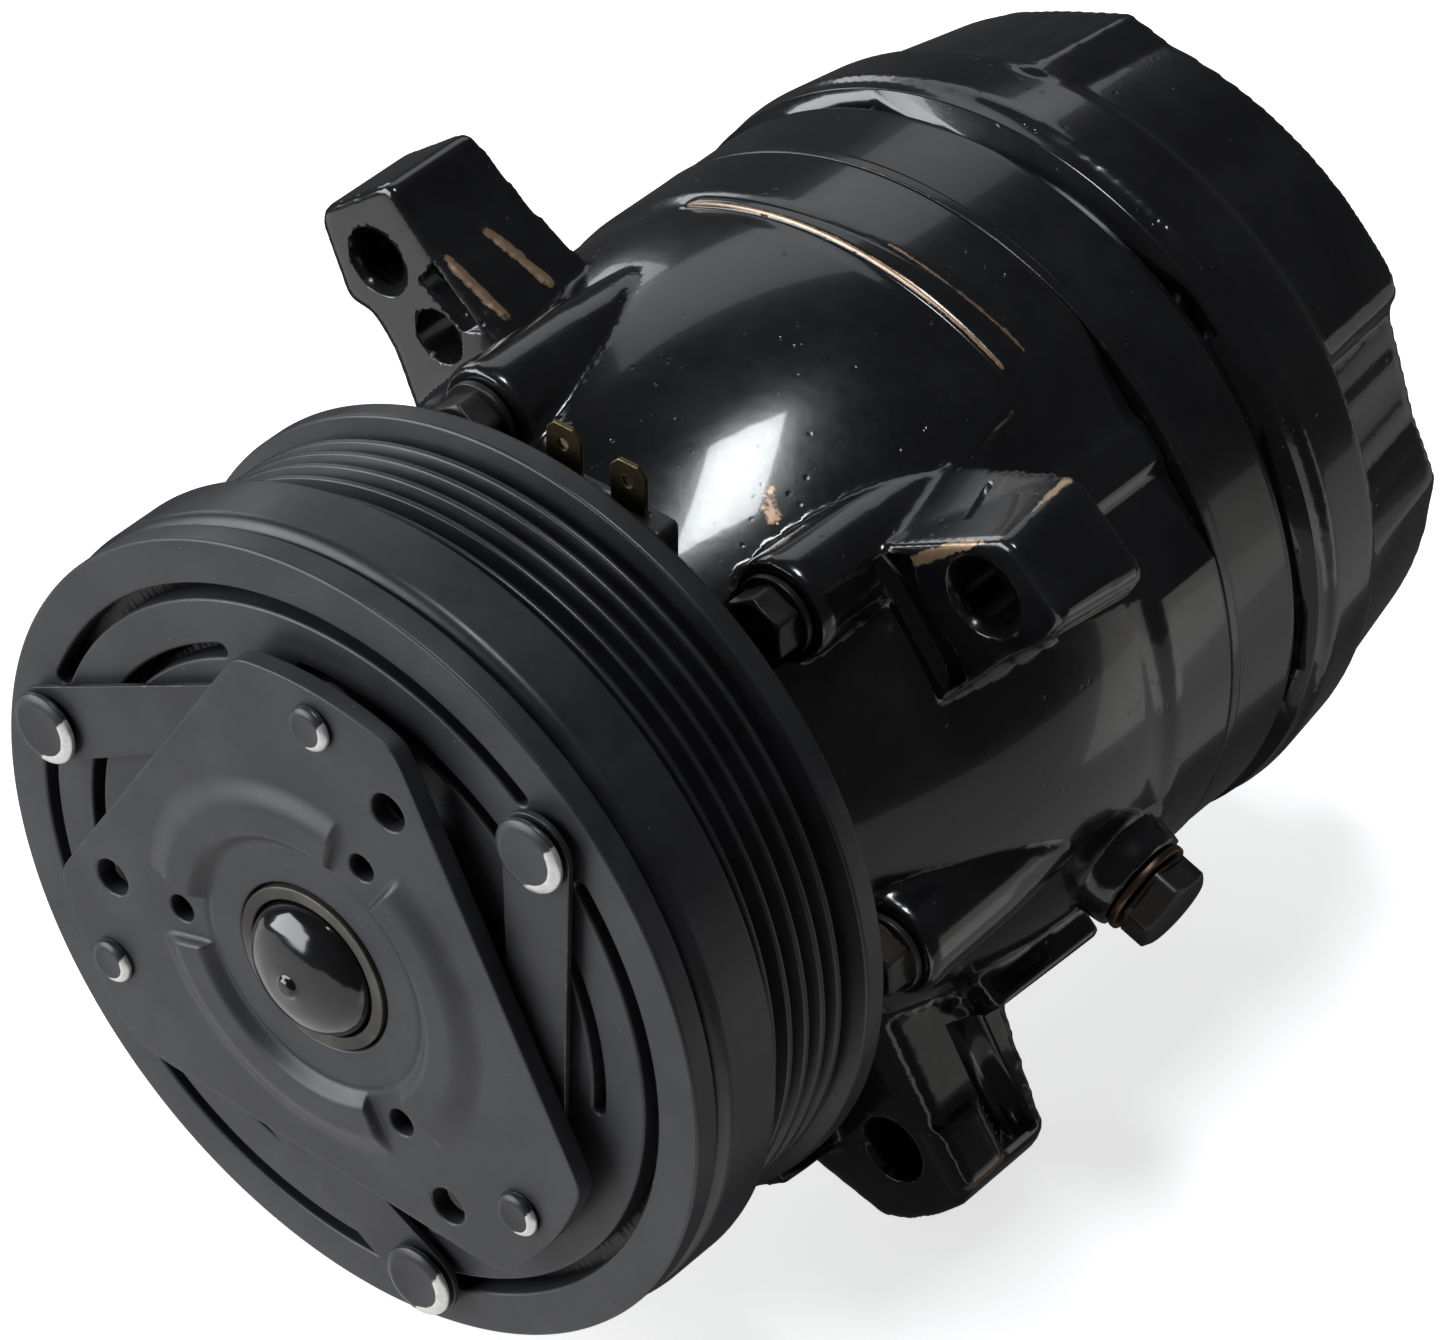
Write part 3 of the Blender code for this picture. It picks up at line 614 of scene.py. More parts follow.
class Value:
    """A shader socket that takes part in Python arithmetic by adding Math nodes."""

    def __init__(self, graph: "Graph", socket: bpy.types.NodeSocket) -> None:
        """Keep the graph and the socket."""
        self.graph = graph
        self.socket = socket

    def _math(self, operation: str, left: object, right: object) -> "Value":
        """Add one Math node."""
        return self.graph.node("ShaderNodeMath", {"operation": operation}, {0: left, 1: right})

    def __add__(self, other: object) -> "Value":
        """Return self + other."""
        return self._math("ADD", self, other)

    def __radd__(self, other: object) -> "Value":
        """Return other + self."""
        return self._math("ADD", other, self)

    def __sub__(self, other: object) -> "Value":
        """Return self - other."""
        return self._math("SUBTRACT", self, other)

    def __rsub__(self, other: object) -> "Value":
        """Return other - self."""
        return self._math("SUBTRACT", other, self)

    def __mul__(self, other: object) -> "Value":
        """Return self * other."""
        return self._math("MULTIPLY", self, other)

    def __rmul__(self, other: object) -> "Value":
        """Return other * self."""
        return self._math("MULTIPLY", other, self)

    def __pow__(self, other: object) -> "Value":
        """Return self to the power other."""
        return self._math("POWER", self, other)

    def above(self, low: float, high: float) -> "Value":
        """Return 0 below low, 1 above high, and a smooth rise between them."""
        inputs = {"Value": self, "From Min": low, "From Max": high}
        return self.graph.node("ShaderNodeMapRange", {"interpolation_type": "SMOOTHSTEP"}, inputs)


class Graph:
    """The node tree of one material, filled through one node method."""

    def __init__(self, name: str) -> None:
        """Start an empty material."""
        self.material = bpy.data.materials.new(name)
        self.material.use_nodes = True
        self.tree = self.material.node_tree
        self.tree.nodes.clear()
        self.place = self.node("ShaderNodeTexCoord", out="Object")

    def node(
        self, kind: str, settings: dict | None = None, inputs: dict | None = None, out: object = 0
    ) -> Value:
        """Add a node.

        Args:
            kind: the node's type.
            settings: attributes, set first.
            inputs: values or links of its sockets, by name or number.
            out: the output to return, by name or number.

        Returns:
            The wrapped output socket.
        """
        made = self.tree.nodes.new(kind)
        for key, value in (settings or {}).items():
            setattr(made, key, value)
        for key, value in (inputs or {}).items():
            if isinstance(value, Value):
                self.tree.links.new(value.socket, made.inputs[key])
            else:
                made.inputs[key].default_value = value
        return Value(self, made.outputs[out])

    def noise(
        self, size_mm: float, detail: float = 3.0, rough: float = 0.55, at: Value | None = None
    ) -> Value:
        """Return a noise.

        Args:
            size_mm: about the size of its features.
            detail: number of finer layers.
            rough: share of each finer layer.
            at: where it is read, if not at the object's own place.

        Returns:
            Its value, about 0 to 1.
        """
        inputs = {"Vector": at or self.place, "Scale": 1000.0 / size_mm}
        inputs |= {"Detail": detail, "Roughness": rough}
        return self.node("ShaderNodeTexNoise", inputs=inputs)

    def cells(self, per_metre: float) -> Value:
        """Return the distance from the nearest of scattered points."""
        inputs = {"Vector": self.place, "Scale": per_metre}
        return self.node("ShaderNodeTexVoronoi", None, inputs, out="Distance")

    def vector(self, operation: str, left: object, right: object, out: object = 0) -> Value:
        """Add one Vector Math node."""
        inputs = {0: left} if right is None else {0: left, 1: right}
        return self.node("ShaderNodeVectorMath", {"operation": operation}, inputs, out)

    def mix(self, factor: object, first: Colour | Value, second: Colour | Value) -> Value:
        """Mix two colours."""
        pair = [c if isinstance(c, Value) else (*c, 1.0) for c in (first, second)]
        inputs = {0: factor, 6: pair[0], 7: pair[1]}
        return self.node("ShaderNodeMix", {"data_type": "RGBA"}, inputs, out=2)

    def bump(self, height: Value, depth_mm: float, under: Value | None = None) -> Value:
        """Return a normal bent by a height field.

        Args:
            height: the field, 0 to 1.
            depth_mm: what 1 stands for in millimetres.
            under: another bent normal that this one lies on.

        Returns:
            The normal.
        """
        inputs: dict = {"Height": height, "Strength": 1.0, "Distance": depth_mm * MM}
        if under is not None:
            inputs["Normal"] = under
        return self.node("ShaderNodeBump", None, inputs, out="Normal")

    def finish_with(self, shader: Value) -> None:
        """Link the shader to the material's output."""
        made = self.tree.nodes.new("ShaderNodeOutputMaterial")
        self.tree.links.new(shader.socket, made.inputs["Surface"])

    def radius(self) -> Value:
        """Return the distance from the shaft line in metres."""
        flat = self.vector("MULTIPLY", self.place, (1.0, 0.0, 1.0))
        return self.vector("LENGTH", flat, None, "Value")

    def along(self) -> Value:
        """Return the place along the shaft line in metres."""
        return self.node("ShaderNodeSeparateXYZ", inputs={0: self.place}, out="Y")

    def edges(self, reach_mm: float) -> Value:
        """Return 1 near outer edges: where a rounded normal leaves the true one."""
        soft = self.node("ShaderNodeBevel", {"samples": 4}, {"Radius": reach_mm * MM})
        true = self.node("ShaderNodeNewGeometry", out="Normal")
        return 1.0 - self.vector("DOT_PRODUCT", soft, true, "Value").above(0.90, 0.992)


class Skin(Enum):
    """How a finish's fine relief runs."""

    CAST = "sand-cast grain under paint"
    TURNED = "fine rings round the shaft"
    PRESSED = "smooth sheet with faint waves"
    GROUND = "short fine scratches"


@dataclass(frozen=True)
class Finish:
    """One finish: two colours that a slow mottling mixes, their gloss, relief and wear.

    Attributes:
        slot: the record's slot, or the finish's own name.
        dark: first colour.
        light: second colour.
        rough: mean roughness.
        spread: how far the roughness swings.
        metal: metal share.
        coat: weight of the clear coat.
        specular: strength of plain reflection.
        skin: how the relief runs.
        grain_mm: size of the relief's features.
        depth_mm: depth of the relief.
        pits: depth of casting pits, 0 for none.
        wear: how readily edges are worn, 0 for never.
        wear_mm: width of the worn edges.
        worn: colour under the paint, and the colour of painted highlights on rivet rims.
        dust: share of dust in its specks, 0 for none.
        coat_rough: roughness of the clear coat.
    """

    slot: str
    dark: Colour
    light: Colour
    rough: float
    spread: float = 0.08
    metal: float = 0.0
    coat: float = 0.0
    specular: float = 0.5
    skin: Skin = Skin.CAST
    grain_mm: float = 1.0
    depth_mm: float = 0.02
    pits: float = 0.0
    wear: float = 0.0
    wear_mm: float = 0.6
    worn: Colour = (0.30, 0.20, 0.13)
    dust: float = 0.0
    coat_rough: float = 0.05

    def relief(self, graph: Graph) -> Value:
        """Return the height field of the skin, about 0 to 1."""
        if self.skin is Skin.TURNED:
            where = (graph.radius() + graph.along()) * (1000.0 / self.grain_mm)
            inputs = {"W": where, "Detail": 2.0}
            rings = graph.node("ShaderNodeTexNoise", {"noise_dimensions": "1D"}, inputs)
            return rings * 0.7 + graph.noise(self.grain_mm * 1.6, 2.0) * 0.3
        if self.skin is Skin.PRESSED:
            waves = graph.noise(self.grain_mm * 9.0, 1.0) * 0.75
            return waves + graph.noise(self.grain_mm, 2.0) * 0.25
        if self.skin is Skin.GROUND:
            inputs = {"Vector": graph.place, "Scale": (1.0, 0.12, 1.0)}
            stretched = graph.node("ShaderNodeMapping", None, inputs)
            return graph.noise(self.grain_mm, 4.0, 0.6, stretched)
        grains = graph.noise(self.grain_mm, 4.0, 0.6) * 0.6
        return grains + graph.noise(self.grain_mm * 4.0, 2.0) * 0.4

    def worn_away(self, graph: Graph) -> Value:
        """Return where bare metal shows, the larger of chipped edges and marked wear, with painted rivet
        rim highlights among the marks.
        """
        chips = graph.noise(2.2, 4.0, 0.7).above(0.62 - 0.3 * self.wear, 0.66)
        chipped = graph.edges(self.wear_mm) * chips * graph.noise(16.0, 1.0).above(0.40, 0.56)
        # The marks hold real wear on the front head and a painted highlight on one side of each rivet's
        # rim.
        marked_wear_and_highlight = graph.node("ShaderNodeAttribute", {"attribute_name": "wear"}, out="Fac")
        rubbed_and_highlit = (marked_wear_and_highlight + graph.noise(1.6, 3.0, 0.7) * 0.8).above(0.92, 1.12)
        return graph.node("ShaderNodeMath", {"operation": "MAXIMUM"}, {0: chipped, 1: rubbed_and_highlit})

    def build(self) -> bpy.types.Material:
        """Return the finish as a node material."""
        graph = Graph(self.slot + "_finish")
        mottle = graph.noise(14.0, 3.0).above(0.35, 0.68)
        colour = graph.mix(mottle, self.dark, self.light)
        rough = graph.noise(3.2, 4.0, 0.65) * (2.0 * self.spread) + (self.rough - self.spread)
        metal: object = self.metal
        normal = graph.bump(self.relief(graph), self.depth_mm)
        if self.pits:
            patchy = graph.noise(9.0, 2.0).above(0.52, 0.66)
            pitted = (1.0 - graph.cells(PITS_PER_METRE).above(0.06, 0.22)) * patchy
            normal = graph.bump(1.0 - pitted, self.pits, normal)
        if self.dust:
            patchy = graph.noise(5.0, 2.0).above(0.55, 0.62)
            dust = (1.0 - graph.cells(SPECKS_PER_METRE).above(0.04, 0.13)) * patchy * self.dust
            colour = graph.mix(dust, colour, DUST_TONE)
            rough = rough + dust * 0.3
        if self.wear:
            # worn also carries the painted highlight on one side of each rivet's rim, besides real
            # chipped and rubbed wear.
            worn = self.worn_away(graph)
            bright = tuple(min(1.0, c * 1.8) for c in self.worn)
            tone = graph.mix(graph.noise(1.2, 2.0), self.worn, bright)
            colour = graph.mix(worn, colour, tone)
            rough = rough * (1.0 - worn) + worn * WORN_ROUGH
            metal = worn * (WORN_METAL - self.metal) + self.metal
        inputs = {
            "Base Color": colour,
            "Roughness": rough,
            "Metallic": metal,
            "Normal": normal,
            "Specular IOR Level": self.specular,
            "Coat Weight": self.coat,
            "Coat Roughness": self.coat_rough,
        }
        shader = graph.node("ShaderNodeBsdfPrincipled", None, inputs)
        graph.finish_with(shader)
        return graph.material


FINISHES = (
    Finish("head_paint", (0.006, 0.006, 0.007), (0.012, 0.012, 0.013), 0.20, 0.07, coat=0.55,
           grain_mm=1.5, depth_mm=0.022, pits=0.10, wear=0.55, dust=0.25),
    Finish("block_paint", (0.007, 0.007, 0.008), (0.013, 0.013, 0.014), 0.24, 0.06, coat=0.35,
           skin=Skin.TURNED, grain_mm=0.8, depth_mm=0.006, wear=0.25, dust=0.2),
    Finish("clutch_paint", (0.022, 0.022, 0.026), (0.034, 0.034, 0.039), 0.42, 0.07,
           skin=Skin.PRESSED, grain_mm=0.9, depth_mm=0.012, wear=0.16, wear_mm=0.4, dust=0.5,
           worn=(0.16, 0.15, 0.15)),
    Finish("pulley_paint", (0.016, 0.016, 0.018), (0.027, 0.027, 0.031), 0.36, 0.08,
           skin=Skin.TURNED, grain_mm=0.5, depth_mm=0.006, wear=0.2, wear_mm=0.35, dust=0.35,
           worn=(0.14, 0.13, 0.13)),
    Finish("bolt_steel", (0.012, 0.012, 0.013), (0.05, 0.045, 0.04), 0.36, 0.12, metal=0.35,
           skin=Skin.GROUND, grain_mm=0.6, depth_mm=0.015, wear=0.5, wear_mm=0.4,
           worn=(0.32, 0.25, 0.19)),
    # Its worn silver is also painted as a highlight on one side of each rivet's rim.
    Finish("rivet_steel", (0.020, 0.020, 0.023), (0.04, 0.04, 0.044), 0.36, 0.08, metal=0.2,
           skin=Skin.PRESSED, grain_mm=0.6, depth_mm=0.02, wear=1.0, wear_mm=0.55,
           worn=(0.56, 0.55, 0.53)),
    Finish("spring_steel", (0.020, 0.020, 0.023), (0.032, 0.032, 0.036), 0.38, 0.07, metal=0.1,
           skin=Skin.GROUND, grain_mm=0.7, depth_mm=0.01, wear=0.3, wear_mm=0.3,
           worn=(0.25, 0.24, 0.23)),
    Finish("shaft_steel", (0.42, 0.42, 0.43), (0.55, 0.55, 0.56), 0.28, 0.06, metal=1.0,
           skin=Skin.TURNED, grain_mm=0.3, depth_mm=0.004),
    Finish("bearing_steel", (0.50, 0.50, 0.51), (0.60, 0.60, 0.61), 0.18, 0.05, metal=1.0,
           skin=Skin.TURNED, grain_mm=0.3, depth_mm=0.003),
    Finish("piston_aluminium", (0.52, 0.52, 0.54), (0.64, 0.64, 0.66), 0.33, 0.06, metal=1.0,
           skin=Skin.TURNED, grain_mm=0.4, depth_mm=0.005),
    Finish("valve_steel", (0.30, 0.30, 0.31), (0.42, 0.42, 0.43), 0.34, 0.10, metal=1.0,
           skin=Skin.GROUND, grain_mm=0.5, depth_mm=0.01, wear=0.3, worn=(0.6, 0.58, 0.55)),
    Finish("seal_rubber", (0.012, 0.012, 0.012), (0.022, 0.022, 0.022), 0.68, 0.08,
           skin=Skin.CAST, grain_mm=0.5, depth_mm=0.01),
    Finish("coil_resin", (0.012, 0.012, 0.013), (0.022, 0.022, 0.023), 0.40, 0.08,
           skin=Skin.CAST, grain_mm=0.8, depth_mm=0.02, dust=0.2),
    Finish("terminal_brass", (0.035, 0.030, 0.020), (0.10, 0.075, 0.04), 0.34, 0.10, metal=0.8,
           skin=Skin.GROUND, grain_mm=0.5, depth_mm=0.008, wear=1.0, wear_mm=0.35,
           worn=(0.50, 0.38, 0.18)),
    Finish("cap_plastic", (0.006, 0.006, 0.007), (0.010, 0.010, 0.011), 0.13, 0.04, coat=0.4,
           skin=Skin.PRESSED, grain_mm=1.2, depth_mm=0.006),
    Finish("sleeve_metal", (0.045, 0.041, 0.036), (0.13, 0.12, 0.105), 0.52, 0.12, metal=0.6,
           skin=Skin.GROUND, grain_mm=0.7, depth_mm=0.06, wear=0.9, wear_mm=0.4,
           worn=(0.34, 0.31, 0.27)),
    Finish("washer_copper", (0.03, 0.022, 0.018), (0.16, 0.09, 0.055), 0.34, 0.10, metal=0.8,
           skin=Skin.GROUND, grain_mm=0.6, depth_mm=0.02, wear=1.0, wear_mm=0.5,
           worn=(0.48, 0.30, 0.19)),
)


@dataclass
class Paintshop:
    """Keeps the finished materials by slot or by name."""

    made: dict[str, bpy.types.Material] = field(default_factory=dict)

    def mix(self) -> None:
        """Make every finish."""
        self.made = {finish.slot: finish.build() for finish in FINISHES}

    def coat(self, item: bpy.types.Object, slot: str, finish: str = "") -> None:
        """Give a piece a finish.

        Args:
            item: the piece.
            slot: the record's slot, whose finish it gets.
            finish: another finish, if not the slot's own.
        """
        item.data.materials.clear()
        item.data.materials.append(self.made[finish or slot])

    def coat_hidden_nodes(self) -> None:
        """Give every carried-over solid the finish of its own slot."""
        for sub in frame["record"]["subparts"]:
            node = frame["nodes"][sub["node"]]
            self.coat(node, sub["material_slot"])


@dataclass
class Assembly:
    """Base of the sub-assemblies: places a made piece on its body with its finish."""

    shop: Paintshop

    def fit(
        self,
        item: bpy.types.Object,
        body: str,
        slot: str,
        nodes: Sequence[str],
        finish: str = "",
        weigh: bool = True,
    ) -> bpy.types.Object:
        """Ride a piece on its body, hide the solids that it stands for, and dress it.

        Args:
            item: the piece.
            body: the body it moves with.
            slot: the record's slot of its finish.
            nodes: solids that it stands for.
            finish: another finish of the paintshop, if not the slot's own.
            weigh: whether flat faces keep their flat shading beside rounded edges.

        Returns:
            The piece.
        """
        if weigh:
            keep = item.modifiers.new("flats", "WEIGHTED_NORMAL")
            keep.weight = FLATS_WEIGHT
            keep.keep_sharp = True
        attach(item, body)
        if nodes:
            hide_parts(*nodes)
        self.shop.coat(item, slot, finish)
        LOG.info("%s rides on %s with %d faces", item.name, body, len(item.data.polygons))
        return item


# ---------------------------------------------------------------- clutch


@dataclass
class Clutch(Assembly):
    """Pulley, armature, hub, leaf springs, cap and coil."""

    ring_r: float = 65.0
    rim_r: float = 64.0
    crest_r: float = 61.9
    valley_r: float = 59.3
    pitch: float = 3.56
    grooves: int = 6
    first_valley: float = 17.9
    armature_r: float = 64.5
    armature_bore: float = 33.0
    rivet_angles: tuple[float, ...] = (46.0, 166.0, 286.0)
    rivet_r: float = 55.0
    hub_rivet_r: float = 44.5
    leaf_sweep: float = -78.5
    hub_inradius: float = 36.9
    hub_corner: float = 50.5
    hub_front: float = -6.0
    pads: tuple[float, ...] = (67.3, 187.3, 307.3)

    def pulley(self) -> None:
        """Turn the grooved rim and rotor as one ring, then cut its four flux slots."""
        profile = [(5.0, 27.9, 0.3), (5.0, 63.2, 0.7)]
        profile += [(6.5, self.ring_r, 0.9), (16.3, self.ring_r, 0.45)]
        for k in range(self.grooves):
            valley = self.first_valley + self.pitch * k
            if k:
                profile.append((valley - 1.36, self.crest_r, 0.35))
            profile += [(valley - 0.42, self.valley_r, 0.3), (valley + 0.42, self.valley_r, 0.3)]
            if k < self.grooves - 1:
                profile.append((valley + 1.36, self.crest_r, 0.35))
        profile += [(37.3, self.rim_r, 0.45), (40.9, self.rim_r, 0.4), (41.5, 63.3, 0.3)]
        profile += [(41.5, 55.3, 0.5), (11.0, 55.3, 0.8), (9.2, 53.5, 0.8), (9.2, 33.8, 0.8)]
        profile += [(33.6, 33.8, 0.4), (33.6, 27.9, 0.4)]
        ring = turned("pulley_rim", softened(profile, 3), 240, phase=1.3)
        slots = [arc_slot(46.6, 48.8, 90 * k + 8, 90 * k + 82, 40) for k in range(4)]
        combine(ring, [prism("slot", slot, 4, 10) for slot in slots])
        self.fit(ring, "pulley", "pulley_paint", ["pulley_rotor"])

    def armature(self) -> None:
        """Make the armature plate with its slots, and three broad rivets."""
        spans = ((53.0, 158.0), (175.5, 274.0), (290.0, 398.0))
        holes = [circle(self.armature_bore, 180)]
        holes += [arc_slot(55.1, 57.4, *span) for span in spans]
        holes += [arc_slot(45.9, 48.0, a - 50.0, a + 50.0) for a in self.rivet_angles]
        disc = plate("armature_disc", circle(self.armature_r, 300), holes, 0.0, 4.4, 0.55)
        self.fit(disc, "armature", "clutch_paint", ["armature_plate"])
        head = [(-4.3, 0, 0), (-4.3, 4.6, 0.9), (-3.7, 5.75, 0.4), (-2.95, 5.75, 0.25)]
        head += [(-2.85, 3.1, 0.1), (4.2, 3.0, 0.3), (4.2, 0, 0)]
        for k, angle in enumerate(self.rivet_angles):
            at = polar(self.rivet_r, angle)
            rivet = turned("armature_rivet_head_%d" % (k + 1), softened(head, 5), 72, at)
            self.dish_with_lit_rim(rivet, at, -4.3, 4.2, 0.35)
            self.fit(rivet, "armature", "rivet_steel", ["armature_rivet_%d" % (k + 1)])

    def dish_with_lit_rim(
        self, item: bpy.types.Object, at: Pair, face: float, reach: float, depth: float
    ) -> None:
        """Hollow a rivet's flat end, and paint a highlight on one side of its rim.

        Points of the end within reach of the line move back by depth (1 - (r / reach)^2).

        Args:
            item: the rivet.
            at: x and z of its line.
            face: station of the end.
            reach: radius of the hollow.
            depth: depth of its middle.
        """
        points = vertex_places(item)
        away = np.hypot(points[:, 0] / MM - at[0], points[:, 2] / MM - at[1])
        on_face = np.abs(points[:, 1] / MM + BELT_S - face) < 0.05
        points[:, 1] += on_face * np.clip(1 - (away / reach) ** 2, 0, 1) * depth * MM
        item.data.vertices.foreach_set("co", points.ravel())
        # Painted highlight: the rim is lit on the same world side, right and down, on every rivet, and
        # is stored in the wear attribute.
        side = (points[:, 0] / MM - at[0]) * 0.9 - (points[:, 2] / MM - at[1]) * 0.45
        rim = smoothstep(0.90, 1.02, away / reach) * (points[:, 1] / MM + BELT_S < face + 1.3)
        mark_wear_and_highlight(item, rim * smoothstep(0.1, 0.8, side / reach))

    def hub(self) -> None:
        """Press the three-cornered hub plate, and cut its holes.

        Its rim stands at R(a) = (sum over flats of (cos(a - n) / inradius)^p + corner^-p)^(-1/p),
        a soft smallest of three flats and a circle. Its face rises by a round-backed ring
        between radii 20 and 31.4, broken off short round each of three pads.
        """
        angles = np.arange(540) / 1.5
        power = 70.0
        total = np.full(len(angles), self.hub_corner**-power)
        for normal in (27.5, 147.5, 267.5):
            lean = np.clip(np.cos(np.radians(angles - normal)), 1e-6, 1)
            total = total + (lean / self.hub_inradius) ** power
        rim = total ** (-1.0 / power)
        share = np.linspace(0, 1, 12)
        middle = 33.0
        inner = np.linspace(13.85, middle, 60)[:, None] + 0 * angles
        outer = middle + (rim - 0.3 - middle)[None, :] * share[1:, None]
        radii = np.vstack([inner, outer])
        gap = np.min([np.abs((angles - pad + 180) % 360 - 180) for pad in self.pads], axis=0)
        fade = smoothstep(9.6, 12.0, gap)[None, :]
        bead = smoothstep(20.0, 22.6, radii) * (1 - smoothstep(26.2, 31.4, radii)) * fade
        groove = np.exp(-(((radii - 20.0) / 0.45) ** 2))
        sink = -1.6 * bead + 0.22 * groove
        front, rear = self.hub_front + sink, self.hub_front + 3.0 + 0.9 * np.minimum(sink, 0.0)
        radii = np.vstack([radii[:1] - 0.35, radii[:1] - 0.1, radii, rim[None] - 0.09, rim[None]])
        entry, edge = front[:1], front[-1:]
        front = np.vstack([entry + 0.35, entry + 0.1, front, edge + 0.09, edge + 0.3])
        back = np.vstack([radii[-1:], radii[-2:-1], radii[2:-2][::-1], radii[:1]])
        behind = np.vstack([rear[-1:] - 0.3, rear[-1:] - 0.09, rear[::-1], rear[:1] - 0.3])
        r, s = np.vstack([radii, back]), np.vstack([front, behind])
        x, z = polar(r, angles[None, :])
        disc = surface("hub_flange", world(x, s, z), loop_rows=True)
        tools = []
        for pad, rivet in zip(self.pads, self.rivet_angles):
            tools.append(self.drill(polar(39.3, pad), 2.9))
            tools.append(self.drill(polar(25.5, pad), 2.1))
            tools.append(self.drill(polar(self.hub_rivet_r, rivet + self.leaf_sweep), 2.3))
        combine(disc, tools)
        self.fit(disc, HUB_BODY, "clutch_paint", ["hub_plate"])

    def drill(self, at: Pair, radius: float) -> bpy.types.Object:
        """Make a drill that leaves a softened edge where it enters the hub's face.

        Args:
            at: x and z of the hole.
            radius: its radius.

        Returns:
            The cutter.
        """
        wide, face = radius + 0.35, self.hub_front
        rows = [(-8.0, 0), (-8.0, wide), (face, wide), (face + 0.35, radius)]
        return turned("drill", [*rows, (-1.5, radius), (-1.5, 0)], 40, at, 3.0)

    def small_parts(self) -> None:
        """Make the hub rivets, leaf springs, hub sleeve and dome cap."""
        head = [(-7.6, 0, 0), (-7.6, 2.7, 0.6), (-7.0, 3.5, 0.45), (-6.2, 3.5, 0.1)]
        head += [(-6.2, 2.0, 0.1), (-0.8, 2.0, 0.2), (-0.8, 0, 0)]
        for k, angle in enumerate(self.rivet_angles):
            at = polar(self.hub_rivet_r, angle + self.leaf_sweep)
            rivet = turned("hub_rivet_head_%d" % (k + 1), softened(head, 5), 56, at)
            self.dish_with_lit_rim(rivet, at, -7.6, 2.5, 0.22)
            self.fit(rivet, HUB_BODY, "rivet_steel", ["hub_rivet_%d" % (k + 1)])
            self.leaf(k, np.array(polar(self.rivet_r, angle)), np.array(at))
        ring = [(-6.5, 11.15), (-6.5, 13.2), (9.5, 13.2), (9.5, 7.9), (-1.0, 7.9), (-1.0, 11.15)]
        sleeve = turned("hub_sleeve_ring", rounded(ring, 0.28, 4), 160)
        key = [(-1.8, 5.0), (1.8, 5.0), (1.8, 9.4), (-1.8, 9.4)]
        combine(sleeve, [prism("key_way", key, -0.4, 10.5)])
        self.fit(sleeve, HUB_BODY, "bolt_steel", ["hub_sleeve"], finish="sleeve_metal")
        dome = [(-12.2, 0, 0), (-12.2, 1.25, 0.5), (-11.35, 1.9, 0.35), (-10.75, 5.6, 1.8)]
        dome += [(-9.5, 8.5, 1.6), (-7.9, 10.1, 1.0), (-6.5, 10.75, 0.8), (-1.3, 10.75, 0.2)]
        dome += [(-1.3, 9.6, 0.2), (-6.2, 9.6, 0.4), (-8.8, 7.2, 1.2), (-9.9, 4.4, 1.0)]
        cap = turned("dome_cap_shell", softened([*dome, (-10.3, 0, 0)], 6), 128)
        self.fit(cap, HUB_BODY, "cap_plastic", ["dome_cap"], weigh=False)

    def leaf(self, index: int, start: np.ndarray, end: np.ndarray) -> None:
        """Make one tapered leaf: two round ends joined by straight edges, with soft rims.

        Args:
            index: number of the leaf, from 0.
            start: x and z of its end on the armature.
            end: x and z of its end on the hub.
        """
        along = (end - start) / np.linalg.norm(end - start)
        side = np.array([-along[1], along[0]])
        turn = np.radians(np.linspace(90, 270, 25))[:, None]
        wide = start + (along * np.cos(turn) + side * np.sin(turn)) * 6.0
        turn = np.radians(np.linspace(-90, 90, 21))[:, None]
        narrow = end + (along * np.cos(turn) + side * np.sin(turn)) * 4.4
        holes = [circle(3.5, 40, tuple(start)), circle(2.4, 32, tuple(end))]
        leaf = plate("leaf_%d" % (index + 1), np.vstack([wide, narrow]), holes, -2.2, -1.2, 0.18)
        self.fit(leaf, HUB_LEAF_BODY, "spring_steel", ["leaf_spring_%d" % (index + 1)])

    def coil(self) -> None:
        """Turn the field coil, add its terminal tower, and make two blade terminals."""
        rows = [(11.5, 35.4), (11.5, 53.6), (37.4, 53.6), (39.0, 50.6), (42.0, 50.6)]
        rows += [(42.0, 27.4), (39.0, 27.4), (39.0, 35.4)]
        ring = turned("coil_ring", rounded(rows, 0.5, 3), 144, phase=2.6)
        base = rounded([(-1.6, 43.0), (19.6, 43.0), (19.6, 50.0), (-1.6, 50.0)], 0.8, 4)
        tower = rounded([(-3.6, 42.2), (22.4, 42.2), (22.4, 58.2), (-3.6, 58.2)], 1.2, 4)
        combine(ring, [prism("foot", base, 38.2, 44.0)], union=True)
        combine(ring, [plate("tower", tower, [], 42.4, 46.9, 0.6)], union=True)
        blades = ((3.3, 66.5), (14.9, 65.7))
        pockets = []
        for centre, _ in blades:
            low, high = centre - 3.5, centre + 3.5
            pocket = [(low, 48.0), (high, 48.0), (high, 60.0), (low, 60.0)]
            pockets.append(prism("pocket", pocket, 44.2, 45.8))
        combine(ring, pockets)
        self.fit(ring, "body", "coil_resin", ["clutch_coil"])
        for k, (centre, top) in enumerate(blades):
            shape = [(centre - 3.1, 48.4), (centre + 3.1, 48.4), (centre + 3.1, top - 1.5)]
            shape += [(centre + 1.7, top), (centre - 1.7, top), (centre - 3.1, top - 1.5)]
            hole = circle(0.95, 28, (centre, top - 3.2))
            blade = plate("blade_%d" % (k + 1), rounded(shape, 0.35, 3), [hole], 44.6, 45.4, 0.16)
            self.fit(blade, "body", "terminal_brass", ["coil_terminal_%d" % (k + 1)])

